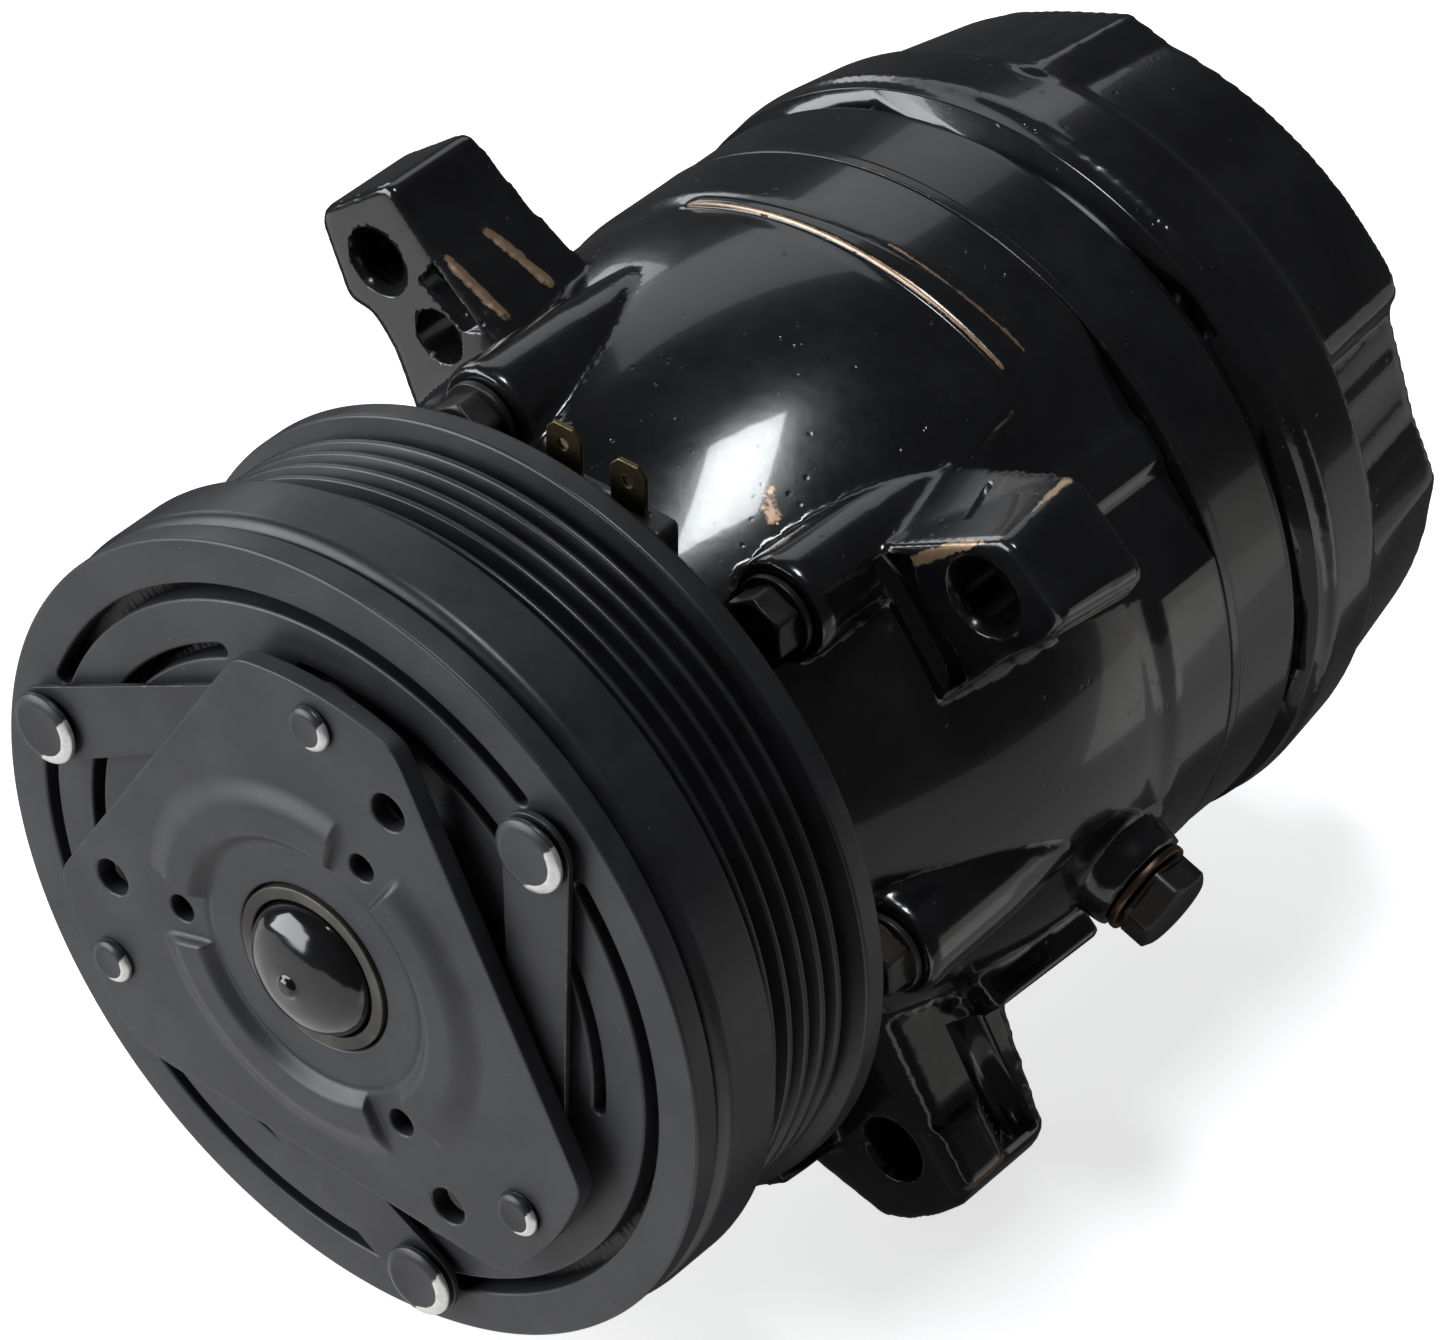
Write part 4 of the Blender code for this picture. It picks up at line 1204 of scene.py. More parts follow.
    def build(self) -> None:
        """Build the whole clutch."""
        self.pulley()
        self.armature()
        self.hub()
        self.small_parts()
        self.coil()


def body_holding(node: str) -> str:
    """Return the name of the body that holds a node."""
    bodies = frame["record"]["behaviour"]["bodies"]
    return next(name for name, members in bodies.items() if node in members)


HUB_BODY = body_holding("hub_plate")
HUB_LEAF_BODY = body_holding("leaf_spring_1")


# ---------------------------------------------------------------- castings


@dataclass
class Castings(Assembly):
    """Front head, cylinder block and rear head, with their bolts, plug and valves."""

    bolt_angles: tuple[float, ...] = (52.0, 112.0, 172.0, 232.0, 292.0, 352.0)
    bolt_circle: float = 54.3
    seat_s: float = 55.0
    head_rear: float = 124.2
    flange_rear: float = 140.4
    block_rear: float = 144.0
    body_r: float = 62.1
    band_r: float = 63.3
    cover_front: float = 159.0
    rear_face: float = 184.0
    control_at: Pair = (45.2, 202.0)
    relief_at: Pair = (45.5, -33.0)
    bell_curve: tuple[Pair, ...] = (
        (44.5, 46.4), (50.0, 48.9), (56.0, 51.4), (62.0, 53.6), (70.0, 56.1),
        (80.0, 58.8), (90.0, 60.5), (100.0, 61.3), (108.5, 61.5),
    )
    chamber_r: float = 49.7
    pin_at: Pair = (0.0, -41.0)
    plug_angle: float = -20.0
    plug_s: float = 103.5
    piston_angles: tuple[float, ...] = (90.0, 162.0, 234.0, 306.0, 18.0)

    def thread(
        self, at: Pair, s0: float, s1: float, crest: float, root: float, pitch: float = 1.75
    ) -> bpy.types.Object:
        """Make a tap: a turned row of V teeth with a softened mouth.

        Args:
            at: x and z of the hole.
            s0: station of the mouth's face.
            s1: station where the hole ends.
            crest: radius at the teeth of the hole.
            root: radius at the bottom of its grooves.
            pitch: distance between teeth.

        Returns:
            The cutting piece.
        """
        stations = np.arange(s0 + 0.9, s1 - 1.0, pitch / 2.0)
        radii = np.where(np.arange(len(stations)) % 2 == 0, crest, root)
        wide = root + 0.9
        mouth = [(s0 - 2.0, 0.0), (s0 - 2.0, wide), (s0 + 0.05, wide)]
        rows = np.vstack([mouth, np.column_stack([stations, radii]), [(s1, crest), (s1, 0.0)]])
        return turned("tap", rows, 56, at, 2.0)

    def on_bolts(self, rows: Sequence, seg: int) -> list[bpy.types.Object]:
        """Turn one copy of a profile about the line of each long bolt."""
        return [turned("round", rows, seg, polar(self.bolt_circle, a)) for a in self.bolt_angles]

    def slab(self, s0: float, s1: float) -> bpy.types.Object:
        """Make a square cutter wider than the body, which faces off a casting."""
        half = 70.0
        return prism("slab", [(-half, -half), (half, -half), (half, half), (-half, half)], s0, s1)

    def ear(
        self, angle: float, outline: Sequence, slope: float, flare: float = 1.0, tip: float = 87.0
    ) -> bpy.types.Object:
        """Make one ear, which thickens towards its root.

        Its front is flat; its rear stands at tip + slope (87 - height along the radius).

        Args:
            angle: the ear's angle about the shaft.
            outline: rows of distance along and across its radius.
            slope: how fast it thickens.
            flare: how much wider its rear outline is.
            tip: station of its rear at a height of 87.

        Returns:
            The closed blank.
        """
        edge = rounded(outline, 0.9, 3)
        x, z = across(angle, edge[:, 0], edge[:, 1])
        front = np.column_stack([x, np.full(len(edge), 70.0), z])
        x, z = across(angle, edge[:, 0], edge[:, 1] * flare)
        rear = np.column_stack([x, tip + (87.0 - edge[:, 0]) * slope, z])
        return blank("ear", front, rear)

    def rib(self, angle: float, near: Sequence, far: Sequence) -> bpy.types.Object:
        """Make a rib between two upright sections along a radius.

        Args:
            angle: the radius's angle about the shaft.
            near: station, lowest and highest radius, and both sides of the front section.
            far: the same of the rear section.

        Returns:
            The closed blank.
        """
        ends = []
        for s, r0, r1, t0, t1 in (near, far):
            r, t = np.array([r0, r1, r1, r0]), np.array([t0, t0, t1, t1])
            x, z = across(angle, r, t)
            ends.append(np.column_stack([x, np.full(4, s), z]))
        return blank("rib", *ends)

    def ridge(self, top: Sequence, root: Sequence, wide: float) -> bpy.types.Object:
        """Make a thin bar down the upper ear's side.

        Args:
            top: station, height along the ear, and both sides of the upper end.
            root: the same of the lower end.
            wide: width along the shaft.

        Returns:
            The closed blank.
        """
        ends = []
        for s, r, t0, t1 in (top, root):
            t = np.array([t0, t0, t1, t1])
            x, z = across(UPPER_EAR, np.full(4, r), t)
            ends.append(np.column_stack([x, s + wide * np.array([-0.5, 0.5, 0.3, -0.3]), z]))
        return blank("ridge", *ends)

    def bell_blanks(self) -> list[bpy.types.Object]:
        """Return the bell, its six bolt bosses, three ears, ribs and plug boss."""
        rows = [(9.0, 0), (9.0, 16.8), (9.7, 17.5), (35.6, 17.5), (35.6, 27.0), (42.3, 27.0)]
        rows += [(42.3, 44.5), *self.bell_curve, (111.0, 62.2)]
        rows += [(127.5, self.body_r), (127.5, 0)]
        bell = turned("bell", rows, 200, phase=1.7)
        flat = [(59.0, -26), (80, -26), (80, 26), (59.0, 26)]
        flat = [across(RIGHT_EAR, *point) for point in flat]
        combine(bell, [prism("flat", flat, 88.0, 130.0)])
        boss = [(self.seat_s - 0.2, 0), (self.seat_s - 0.2, 7.6), (56.0, 8.2)]
        boss += [(74, 7.7), (92, 6.4), (109, 4.6), (109, 0)]
        parts = [bell, *self.on_bolts(boss, 48)]
        upper = [(48, 14.5), (56.4, 13.2), (64, 10.3), (70, 10.0), (73.8, 12.9), (85.4, 8.4)]
        upper += [(86.9, 5.6), (85.3, -8.8), (84.2, -10.3), (72, -10.4), (60, -12.6), (48, -15)]
        right = [(48, 14.2), (56.3, 12.6), (84.0, 6.8), (85.3, 5.4), (87.6, -5.4), (86.6, -7.0)]
        right += [(82.2, -8.6), (71.3, -9.2), (60.4, -11.6), (48, -14.4)]
        lower = [(48, -24.6), (60, -22.6), (76.6, -20.2), (87.9, -10.4), (88.9, -5), (88.6, 1.4)]
        lower += [(87.3, 7.8), (84.9, 11.3), (72, 11.3), (60, 12.1), (48, 13)]
        parts += [
            self.ear(UPPER_EAR, upper, 0.13, 1.0, 87.9),
            self.ear(RIGHT_EAR, right, 0.12, 1.24),
            self.ear(LOWER_EAR, lower, 0.17, 1.0, 88.2),
            self.rib(LOWER_EAR, (57.0, 44, 74.0, -20.0, -10.6), (71.5, 44, 75.2, -20.4, -11.0)),
            self.rib(LOWER_EAR, (80.0, 50, 68.0, 5.2, 10.4), (113.0, 50, 62.8, 7.0, 11.0)),
            self.rib(RIGHT_EAR, (90.0, 50, 59.9, -3.0, 4.4), (126.0, 50, 60.1, -3.6, 3.2)),
            self.rib(LOWER_EAR, (69.6, 74.0, 84.4, 8.0, 12.3), (78.0, 74.0, 84.0, 8.0, 12.3)),
            self.rib(-40.0, (84.0, 50, 65.5, -3.2, 3.2), (108.0, 50, 66.4, -3.2, 3.2)),
            self.ridge((71.4, 72.4, -9.0, -11.0), (73.4, 59.5, -10.5, -13.6), 1.1),
            self.ridge((80.2, 72.6, -9.0, -11.0), (83.6, 59.5, -10.5, -13.6), 1.1),
        ]
        rows = [(55.0, 0), (55.0, 9.4), (60.5, 9.0), (66.4, 8.4), (66.4, 0)]
        parts.append(spoke("plug_boss", self.plug_angle, self.plug_s, rows))
        return parts

    def crescent(self) -> bpy.types.Object:
        """Make the thin crescent ledge at the top of the bell.

        Between angles a0 and a1 its outer face runs from a front edge that sinks into the
        bell to a rear edge, s = rear(a); its height fades out towards both points.
        """
        angles = np.linspace(57.0, 119.0, 90)
        front = 107.4 + 0.0 * angles
        rear = 112.6 - 2.9 * smoothstep(58.0, 104.0, angles)
        fade = smoothstep(57.0, 61.0, angles) * (1 - smoothstep(114.0, 119.0, angles))
        high = 61.3 + 0.95 * fade
        foot = 60.0 + 0 * high
        rows = [(front, foot), (front, high - 0.3), (front + 0.25, high)]
        rows += [(front + 0.9, high + 0.03), (rear - 0.9, high + 0.12)]
        rows += [(rear - 0.2, high + 0.15), (rear, high), (rear, foot)]
        loop = [world(*polar(r, angles)[:1], s, polar(r, angles)[1]) for s, r in rows]
        grid = np.stack(loop, axis=1)
        ends = [np.broadcast_to(g.mean(axis=0), g.shape)[None] for g in (grid[0], grid[-1])]
        return surface("ledge", np.concatenate([ends[0], grid, ends[1]]))

    def front_head(self) -> None:
        """Cast the bell, then cut its chamber, bolt seats, threaded holes and pockets."""
        head = cast("front_head_casting", self.bell_blanks())
        curve = np.polyfit(*np.array(self.bell_curve).T, 4)
        settle_on(head, lambda angle, s: np.polyval(curve, s), 46.0, 106.0, 0.7)
        combine(head, [self.crescent()], union=True)
        combine(head, [self.slab(self.head_rear, 131.0)])
        room = [(8, 0), (8, 14.2), (26, 14.2), (26, 10.5), (43, 10.5), (43, 12.8), (58, 12.8)]
        room += [(58, 40.0), (63, 46.0), (68, self.chamber_r), (127, self.chamber_r), (127, 0)]
        ledge = self.seat_s + 0.06
        seat = [(44.6, 0), (44.6, 7.4), (ledge, 7.4), (ledge, 3.45), (127, 3.45), (127, 0)]
        hole = [(68, 0), (68, 4.6), (70.2, 4.5), (70.6, 4.2), (82, 4.2), (82, 0)]
        gap = [(-4.6, 41.0), (23.4, 41.0), (23.4, 70.0), (-4.6, 70.0)]
        combine(head, [
            turned("chamber", room, 120, phase=3.9),
            *self.on_bolts(seat, 48),
            self.thread(across(UPPER_EAR, 76.2, 1.5), 70.0, 98.0, 4.25, 4.75),
            turned("hole", hole, 48, across(UPPER_EAR, 62.4, -1.2)),
            self.thread(across(RIGHT_EAR, 75.1, 0.2), 70.0, 98.0, 5.1, 5.65),
            self.thread(across(LOWER_EAR, 76.6, -0.5), 70.0, 98.0, 4.3, 4.8),
            bore(55, 69.5, 3.4, 40, across(LOWER_EAR, 69.5, -15.6)),
            prism("tower_gap", gap, 41, 47.5),
            bore(54.5, 57.9, 2.9, 24, self.pin_at, 5.0),
        ])
        pocket = [(70.8, -4.6), (72.4, -9.4), (64.0, -10.4), (59.8, -10.6), (61.4, -6.8)]
        web = [(57.2, -11.0), (62.6, -10.4), (64.0, -5.0), (62.6, 0.0), (64.0, 5.5)]
        web = [across(RIGHT_EAR, *point) for point in (*web, (66.0, 9.2), (58.0, 11.6))]
        hole = [(45, 0), (45, 4.3), (70, 4.3), (70, 0)]
        combine(head, [
            prism("pocket", [across(UPPER_EAR, *point) for point in pocket], 69, 73.0),
            prism("web", rounded(web, 1.6, 4), 68.0, 71.4),
            self.rib(RIGHT_EAR, (77.0, 71.6, 72.9, 8.0, 16.0), (85.5, 69.4, 70.7, 8.6, 16.0)),
            self.rib(LOWER_EAR, (79.6, 62.0, 83.0, 10.2, 15.0), (86.8, 64.0, 83.6, 10.0, 15.0)),
            spoke("plug_hole", self.plug_angle, self.plug_s, hole, 36),
        ])
        self.wear_head(head)
        self.fit(head, "body", "head_paint", ["front_head"], weigh=False)

    def wear_head(self, head: bpy.types.Object) -> None:
        """Mark bare metal where hands and brackets rub.

        Each line has a path, a reach and a most. A point's wear falls from most on the path
        to nothing at twice the reach.
        """
        lines = []
        ledge = np.linspace(60.0, 116.0, 260)
        x, z = polar(62.1, ledge)
        lines.append((world(x, 107.4, z), 0.4, 0.8))
        x, z = polar(62.4, ledge[:110])
        lines.append((world(x, 112.5 - 0.03 * (ledge[:110] - 60.0), z), 0.4, 0.8))
        for angle, side, ends in (
            (UPPER_EAR, -11.4, ((71.6, 71.4), (72.8, 63.0))),
            (UPPER_EAR, -12.4, ((72.4, 65.0), (73.4, 60.0))),
            (UPPER_EAR, -11.4, ((80.4, 71.6), (82.2, 65.5))),
            (UPPER_EAR, -12.6, ((82.0, 65.5), (83.4, 60.4))),
            (RIGHT_EAR, 8.2, ((70.2, 84.0), (70.2, 60.0))),
            (RIGHT_EAR, 8.4, ((86.8, 84.0), (70.2, 84.0))),
            (RIGHT_EAR, -9.0, ((87.5, 85.0), (70.5, 85.0))),
            (UPPER_EAR, 9.5, ((72.0, 85.4), (86.0, 85.8))),
            (LOWER_EAR, 11.5, ((70.2, 84.4), (78.0, 84.0))),
            (LOWER_EAR, -20.0, ((58.0, 70.0), (71.0, 75.0))),
        ):
            s, r = np.linspace(*ends, 24).T
            x, z = across(angle, r, np.full(24, side))
            lines.append((world(x, s, z), 0.9, 0.8))
        chips = ((66.0, 54.0, 66.5), (120.0, 52.5, 57.0), (98.0, 51.5, 58.0), (-4.0, 53.0, 68.0))
        for angle, r, s in chips:
            x, z = polar(r, angle + np.linspace(-2.0, 2.0, 8))
            lines.append((world(x, s + np.linspace(-1.5, 1.5, 8), z), 1.5, 0.7))
        points = vertex_places(head)
        amount = np.zeros(len(points))
        for path, reach, most in lines:
            away = np.min(np.linalg.norm(points[:, None, :] - path[None], axis=2), axis=1)
            share = 1.0 - smoothstep(0.3, 1.0, away / (reach * 2.0 * MM))
            amount = np.maximum(amount, most * share)
        mark_wear_and_highlight(head, amount)

    def block(self) -> None:
        """Turn the cylinder block and bore it."""
        wide, barrel = self.body_r, 49.4
        rows = [(101.3, 0, 0), (101.3, barrel, 0.4), (104, barrel, 0.2), (104, 47.9, 0.2)]
        rows += [(107, 47.9, 0.2), (107, barrel, 0.2), (124.5, barrel, 0.2), (124.5, wide, 0.25)]
        rows += [(126.2, wide + 0.05, 0.4), (126.6, wide - 0.25, 0.3), (139.2, wide - 0.25, 0.3)]
        rows += [(self.flange_rear, wide - 0.4, 0.5), (self.flange_rear, 58.4, 0.8)]
        rows += [(self.block_rear, 58.4, 0.3), (self.block_rear, 0, 0)]
        block = turned("block_turning", softened(rows, 3), 220, phase=1.7)
        centre = [(100, 0), (100, 12.3), (118.5, 12.3), (118.5, 6.0), (146, 6.0), (146, 0)]
        tools = [turned("centre", centre, 48)]
        tools += [bore(100, 146, 15.6, 64, polar(31.0, a), 4.4) for a in self.piston_angles]
        bolts = [polar(self.bolt_circle, angle) for angle in self.bolt_angles]
        tools += [bore(122, 146, 3.45, 32, at, 5.1) for at in bolts]
        combine(block, [*tools, bore(100, 106, 2.9, 24, self.pin_at, 5.0)])
        self.fit(block, "body", "block_paint", ["cylinder_block"])

    def rear_head(self) -> None:
        """Cast the banded rear head with its lobed cover, pad and bosses, and bore it."""
        band = [(142.0, 0), (142.0, 62.7), (147.8, 62.7), (148.2, self.band_r), (160.6, 61.7)]
        band += [(161.3, 60.9), (162.2, 57.0), (163.0, 54.0), (163.0, 0)]
        shape = [(36.5, 61.3, 57.6), (33.8, 60.2, 56.6), (31.0, 57.8, 53.6), (26.0, 57.2, 52.8)]
        shape += [(12.0, 57.2, 52.8), (7.5, 58.6, 54.2), (2.0, 60.6, 56.3)]
        shape += [(-4.0 - 4.6 * k, 61.0, 56.0) for k in range(47)]
        shape += [(-225.0, 61.0, 56.2), (-233.0, 60.8, 56.5), (-244.0, 60.7, 57.0)]
        shape += [(-254.0, 61.1, 57.5), (-262.0, 62.2, 58.8), (-266.0, 62.8, 59.9), (-269.5, 62.0, 58.8)]
        shape.append((-273.0, 61.3, 57.7))
        shape += [(-278.0 - 4.5 * k, 61.3, 57.6) for k in range(10)]
        rims = []
        for column, station in ((1, self.cover_front), (2, self.rear_face)):
            edge = rounded([polar(row[column], row[0]) for row in shape], 0.9, 3)
            rims.append(np.column_stack([edge[:, 0], np.full(len(edge), station), edge[:, 1]]))
        turn = np.linspace(0, 180, 25)
        ends = [(24.0, polar(15.0, turn)), (-40.0, polar(15.0, turn + 180.0))]
        pad = np.vstack([np.column_stack([x, z + centre]) for centre, (x, z) in ends])
        blanks = [turned("band", band, 200, phase=1.7), blank("cover", *rims)]
        blanks.append(prism("pad", pad, 182.0, 187.4))
        for angle in (82.0, 142.0, 262.0, 22.0):
            blanks.append(self.rib(angle, (178.0, 16, 52, -1.3, 1.3), (185.4, 16, 50, -1.0, 1.0)))
        head = cast("rear_head_casting", blanks)
        table = np.array(sorted((row[0] % 360.0, row[1], row[2]) for row in shape))

        def cover(angle: np.ndarray, s: np.ndarray) -> np.ndarray:
            """Return the cover's radius: straight from its front to its rear outline."""
            wide = np.interp(angle, table[:, 0], table[:, 1], period=360.0)
            narrow = np.interp(angle, table[:, 0], table[:, 2], period=360.0)
            depth = self.rear_face - self.cover_front
            return wide + (narrow - wide) * (s - self.cover_front) / depth

        settle_on(head, cover, 162.0, 182.6, 0.45)
        settle_on(head, lambda angle, s: self.band_r - (s - 148.2) * 0.129, 149.0, 160.0, 0.6)
        screw = [(178.5, 0), (178.5, 4.2), (187.0, 4.2), (188.5, 5.2), (188.5, 0)]
        combine(head, [
            self.slab(139.0, 144.4),
            bore(142, 149.6, 50.6, 96, phase=2.3),
            self.port(15.5, 8.5, 172.5),
            self.port(-33.4, 7.2, 170.4),
            turned("bolt_hole", screw, 40, (0.0, -10.4)),
            bore(162.5, 189.5, 8.4, 56, polar(*self.control_at)),
            bore(171.5, 189.5, 4.3, 36, polar(*self.relief_at)),
        ])
        rooms = [(148, 28.6), (148, 35.4), (174.0, 35.4), (174.0, 28.6)]
        holes = self.on_bolts([(142, 0), (142, 3.45), (167, 3.45), (167, 0)], 32)
        rooms = [bore(148, 176.0, 25.5, 64), turned("discharge_room", rooms, 72)]
        combine(head, rooms + holes)
        self.fit(head, "body", "head_paint", ["rear_head"], weigh=False)

    def port(self, z: float, radius: float, floor: float) -> bpy.types.Object:
        """Make the cutter of a port with a stepped seat for its seal.

        Args:
            z: height of its line.
            radius: radius of the port.
            floor: station of its floor.

        Returns:
            The cutter.
        """
        seat = radius + 1.7
        rows = [(floor, 0), (floor, radius), (185.1, radius), (185.2, seat), (187.0, seat)]
        return turned("port", [*rows, (188.5, radius + 3.0), (188.5, 0)], 64, (0.0, z), 3.3)

    def bolts(self) -> None:
        """Make the six long bolts: shank with its washer, and a coned hexagon head."""
        seat, face = self.seat_s, self.seat_s - 1.5
        shank = [(face, 0, 0), (face, 6.3, 0.25), (seat - 0.3, 6.3, 0.25)]
        shank += [(seat - 0.25, 3.0, 0.1), (166.0, 3.0, 0.5), (166.0, 0, 0)]
        for k, angle in enumerate(self.bolt_angles):
            at = polar(self.bolt_circle, angle)

            def point(high: np.ndarray, radius: np.ndarray, turn: np.ndarray) -> np.ndarray:
                """Place a head point on the bolt's line, heights pointing forwards."""
                x, z = polar(radius, turn + angle + 12.0)
                return world(at[0] + x, face - high, at[1] + z)

            stem = turned("shank", softened(shank, 3), 48, at)
            head = hexagon("head", point, 9.6, -0.2, 4.4)
            bolt = join("long_bolt_%d" % (k + 1), [stem, head])
            self.fit(bolt, "body", "bolt_steel", ["through_bolt_%d" % (k + 1)])

    def plug(self) -> None:
        """Make the oil plug with its washer on the boss at the side."""

        def point(high: np.ndarray, radius: np.ndarray, turn: np.ndarray) -> np.ndarray:
            """Place a head point on the plug's spoke."""
            around = np.radians(turn + 20.0)
            x, z = across(self.plug_angle, high, radius * np.sin(around))
            return world(x, self.plug_s + radius * np.cos(around), z)

        shank = [(57.0, 0), (57.0, 3.6), (57.3, 3.9), (68.6, 3.9), (68.6, 6.9)]
        shank += [(69.0, 7.0), (69.4, 0)]
        head = hexagon("head", point, 12.7, 68.3, 73.1)
        plug = join("side_plug", [spoke("shank", self.plug_angle, self.plug_s, shank), head])
        self.fit(plug, "body", "bolt_steel", ["oil_plug"])
        ring = rounded([(66.7, 4.5), (66.7, 7.7), (67.9, 7.7), (67.9, 4.5)], 0.35, 4)
        washer = spoke("side_plug_washer", self.plug_angle, self.plug_s, ring, 64)
        self.fit(washer, "body", "valve_steel", ["oil_plug_washer"], finish="washer_copper")

    def rear_valves(self) -> None:
        """Make the control valve, its snap ring and the relief valve."""
        rows = [(163.0, 0), (163.0, 4.5), (166.0, 4.5), (166.0, 7.9), (170.0, 7.9), (170.0, 7.0)]
        rows += [(172.5, 7.0), (172.5, 7.9), (182.0, 7.9), (182.0, 5.0), (180.6, 4.4), (180.6, 0)]
        at = polar(*self.control_at)
        valve = turned("control_valve_body", rounded(rows, 0.3, 3), 72, at)
        self.fit(valve, "body", "valve_steel", ["control_valve"])
        stem = [(172.4, 0), (172.4, 3.9), (184.3, 3.9), (184.3, 5.6), (185.2, 5.6), (185.2, 0)]
        at = polar(*self.relief_at)

        def point(high: np.ndarray, radius: np.ndarray, turn: np.ndarray) -> np.ndarray:
            """Place a head point on the valve's line, heights pointing rearwards."""
            x, z = polar(radius, turn)
            return world(at[0] + x, 184.9 + high, at[1] + z)

        tip = rounded([(189.2, 1.6), (189.2, 4.2), (191.6, 4.2), (191.6, 1.6)], 0.3, 3)
        parts = [turned("stem", stem, 48, at), hexagon("nut", point, 12.8, 0.0, 4.7)]
        parts.append(turned("tip", tip, 48, at))
        self.fit(join("relief_valve_body", parts), "body", "valve_steel", ["relief_valve"])

    def build(self) -> None:
        """Build the body of the compressor."""
        self.front_head()
        self.block()
        self.rear_head()
        self.bolts()
        self.plug()
        self.rear_valves()


# ---------------------------------------------------------------- studio


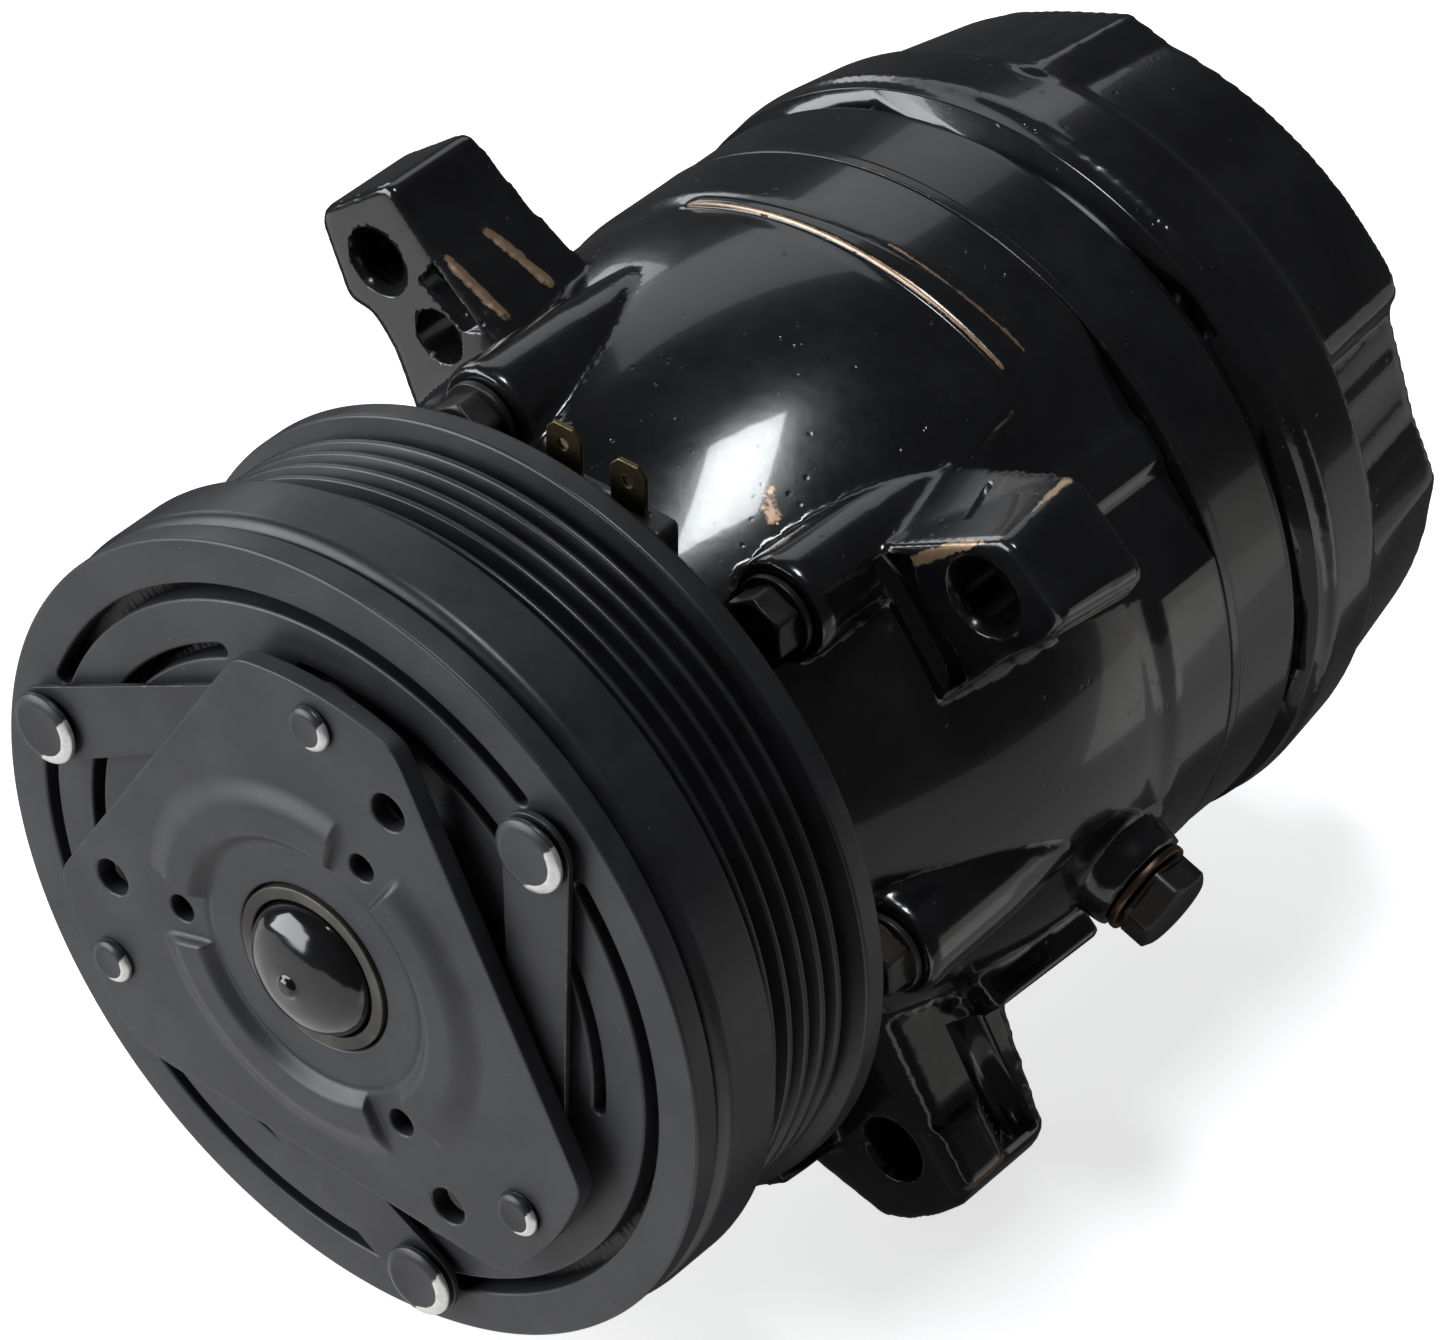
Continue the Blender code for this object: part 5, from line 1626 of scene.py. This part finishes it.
@dataclass
class Studio:
    """Pale floor with a curved wall, soft lights and the camera."""

    eye: tuple[float, float, float] = (0.510111, -0.558282, 0.645286)
    azimuth: float = 39.724
    elevation: float = 39.0508
    lens: float = 174.395
    aim: tuple[float, float, float] = (0.0, 0.06, 0.0)
    floor_gap: float = 0.0006
    wall: float = 4.0
    wall_top: float = 3.2
    wall_bend: float = 1.2

    def camera(self) -> None:
        """Place the camera level, looking down along its two angles."""
        a, e = math.radians(self.azimuth), math.radians(self.elevation)
        back = Vector((math.sin(a) * math.cos(e), -math.cos(a) * math.cos(e), math.sin(e)))
        right = Vector((math.cos(a), math.sin(a), 0.0))
        up = back.cross(right)
        data = bpy.data.cameras.new("camera")
        data.lens = self.lens
        data.sensor_width = 36.0
        data.clip_start, data.clip_end = 0.05, 50.0
        camera = linked("camera", data)
        turn = Matrix((right, up, back)).transposed().to_4x4()
        camera.matrix_world = Matrix.Translation(Vector(self.eye)) @ turn
        bpy.context.scene.camera = camera

    def floor(self, low: float) -> None:
        """Turn a floor that curves up into a wall: radius and height of a quarter circle."""
        bend, flat = np.radians(np.linspace(0, 90, 16)), self.wall - self.wall_bend
        radii = [np.linspace(0.0, flat, 6), flat + self.wall_bend * np.sin(bend), [self.wall]]
        highs = [np.zeros(6), self.wall_bend * (1 - np.cos(bend)), [self.wall_top]]
        radii, highs = np.concatenate(radii)[:, None], np.concatenate(highs)[:, None]
        turn = np.arange(96) * 2 * np.pi / 96
        parts = np.broadcast_arrays(radii * np.cos(turn), radii * np.sin(turn), highs + low)
        floor = surface("floor", np.stack(parts, axis=-1))
        graph = Graph("floor_paper")
        tone = graph.mix(graph.noise(60.0, 2.0), (0.86, 0.86, 0.86), (0.90, 0.90, 0.90))
        inputs = {"Base Color": tone, "Roughness": 0.9, "Specular IOR Level": 0.1}
        inputs |= {"Emission Color": (1.0, 1.0, 1.0, 1.0), "Emission Strength": 0.72}
        graph.finish_with(graph.node("ShaderNodeBsdfPrincipled", None, inputs))
        floor.data.materials.append(graph.material)
        floor.visible_glossy = False
        floor.visible_diffuse = False
        floor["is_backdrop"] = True

    def area(self, name: str, size: Pair, power: float) -> bpy.types.Object:
        """Make one soft rectangular light that the camera does not see.

        Args:
            name: its name.
            size: its two widths in metres.
            power: its power in watts.

        Returns:
            The light, facing down at the origin.
        """
        data = bpy.data.lights.new(name, "AREA")
        data.shape = "RECTANGLE"
        data.size, data.size_y = size
        data.energy = power
        item = linked(name, data)
        item.visible_camera = False
        return item

    def light(
        self, name: str, direction: tuple, far: float, size: Pair, power: float, tone: Colour
    ) -> None:
        """Hang one soft light in a direction from the object, facing it.

        Args:
            name: its name.
            direction: the way to it from the object, of any length.
            far: its distance in metres.
            size: its two widths in metres.
            power: its power in watts.
            tone: its colour.
        """
        item = self.area(name, size, power)
        item.data.color = tone
        way = Vector(direction).normalized()
        item.location = Vector(self.aim) + way * far
        item.rotation_mode = "QUATERNION"
        item.rotation_quaternion = way.to_track_quat("Z", "Y")

    def bounce(self, name: str, place: Pair, low: float, size: Pair, power: float) -> None:
        """Lay one soft light on the floor, facing up, for what pale paper throws back.

        Args:
            name: its name.
            place: x and y of its middle.
            low: height of the floor.
            size: its two widths in metres.
            power: its power in watts.
        """
        item = self.area(name, size, power)
        item.location = (*place, low + 0.003)
        item.rotation_euler = (math.pi, 0.0, 0.0)

    def lights(self, low: float) -> None:
        """Hang the soft lights and set the room's own faint light."""
        self.bounce("front_bounce", (-0.08, -0.22), low, (0.58, 0.40), 0.54)
        self.bounce("rear_bounce", (0.24, 0.22), low, (0.30, 0.60), 0.16)
        cool, warm = (0.93, 0.97, 1.0), (1.0, 0.97, 0.93)
        self.light("top_softbox", (0.03, 0.035, 1.0), 1.3, (0.46, 0.26), 7.6, cool)
        self.light("rear_left_softbox", (-0.62, 0.60, 0.60), 1.7, (1.2, 0.7), 2.1, cool)
        self.light("left_rim", (-0.93, 0.32, 0.24), 1.6, (0.7, 0.5), 2.6, cool)
        self.light("front_left_softbox", (-0.72, -0.80, 0.30), 1.6, (1.5, 1.1), 33.0, cool)
        self.light("right_strip", (0.76, 0.60, -0.22), 1.5, (0.30, 0.9), 0.5, warm)
        world_shade = bpy.data.worlds.new("room")
        world_shade.use_nodes = True
        back = world_shade.node_tree.nodes["Background"]
        back.inputs["Color"].default_value = (0.95, 0.97, 1.0, 1.0)
        back.inputs["Strength"].default_value = 0.05
        bpy.context.scene.world = world_shade
        bpy.context.scene.view_settings.view_transform = "Standard"

    def build(self) -> None:
        """Set up the studio round the object."""
        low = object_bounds()[0][2] - self.floor_gap
        self.camera()
        self.floor(low)
        self.lights(low)


def main() -> None:
    """Build every sub-assembly in order, then the studio."""
    logging.basicConfig(level=logging.INFO, format="%(message)s")
    shop = Paintshop()
    shop.mix()
    shop.coat_hidden_nodes()
    Clutch(shop).build()
    Castings(shop).build()
    Studio().build()


if __name__ == "__main__":
    main()
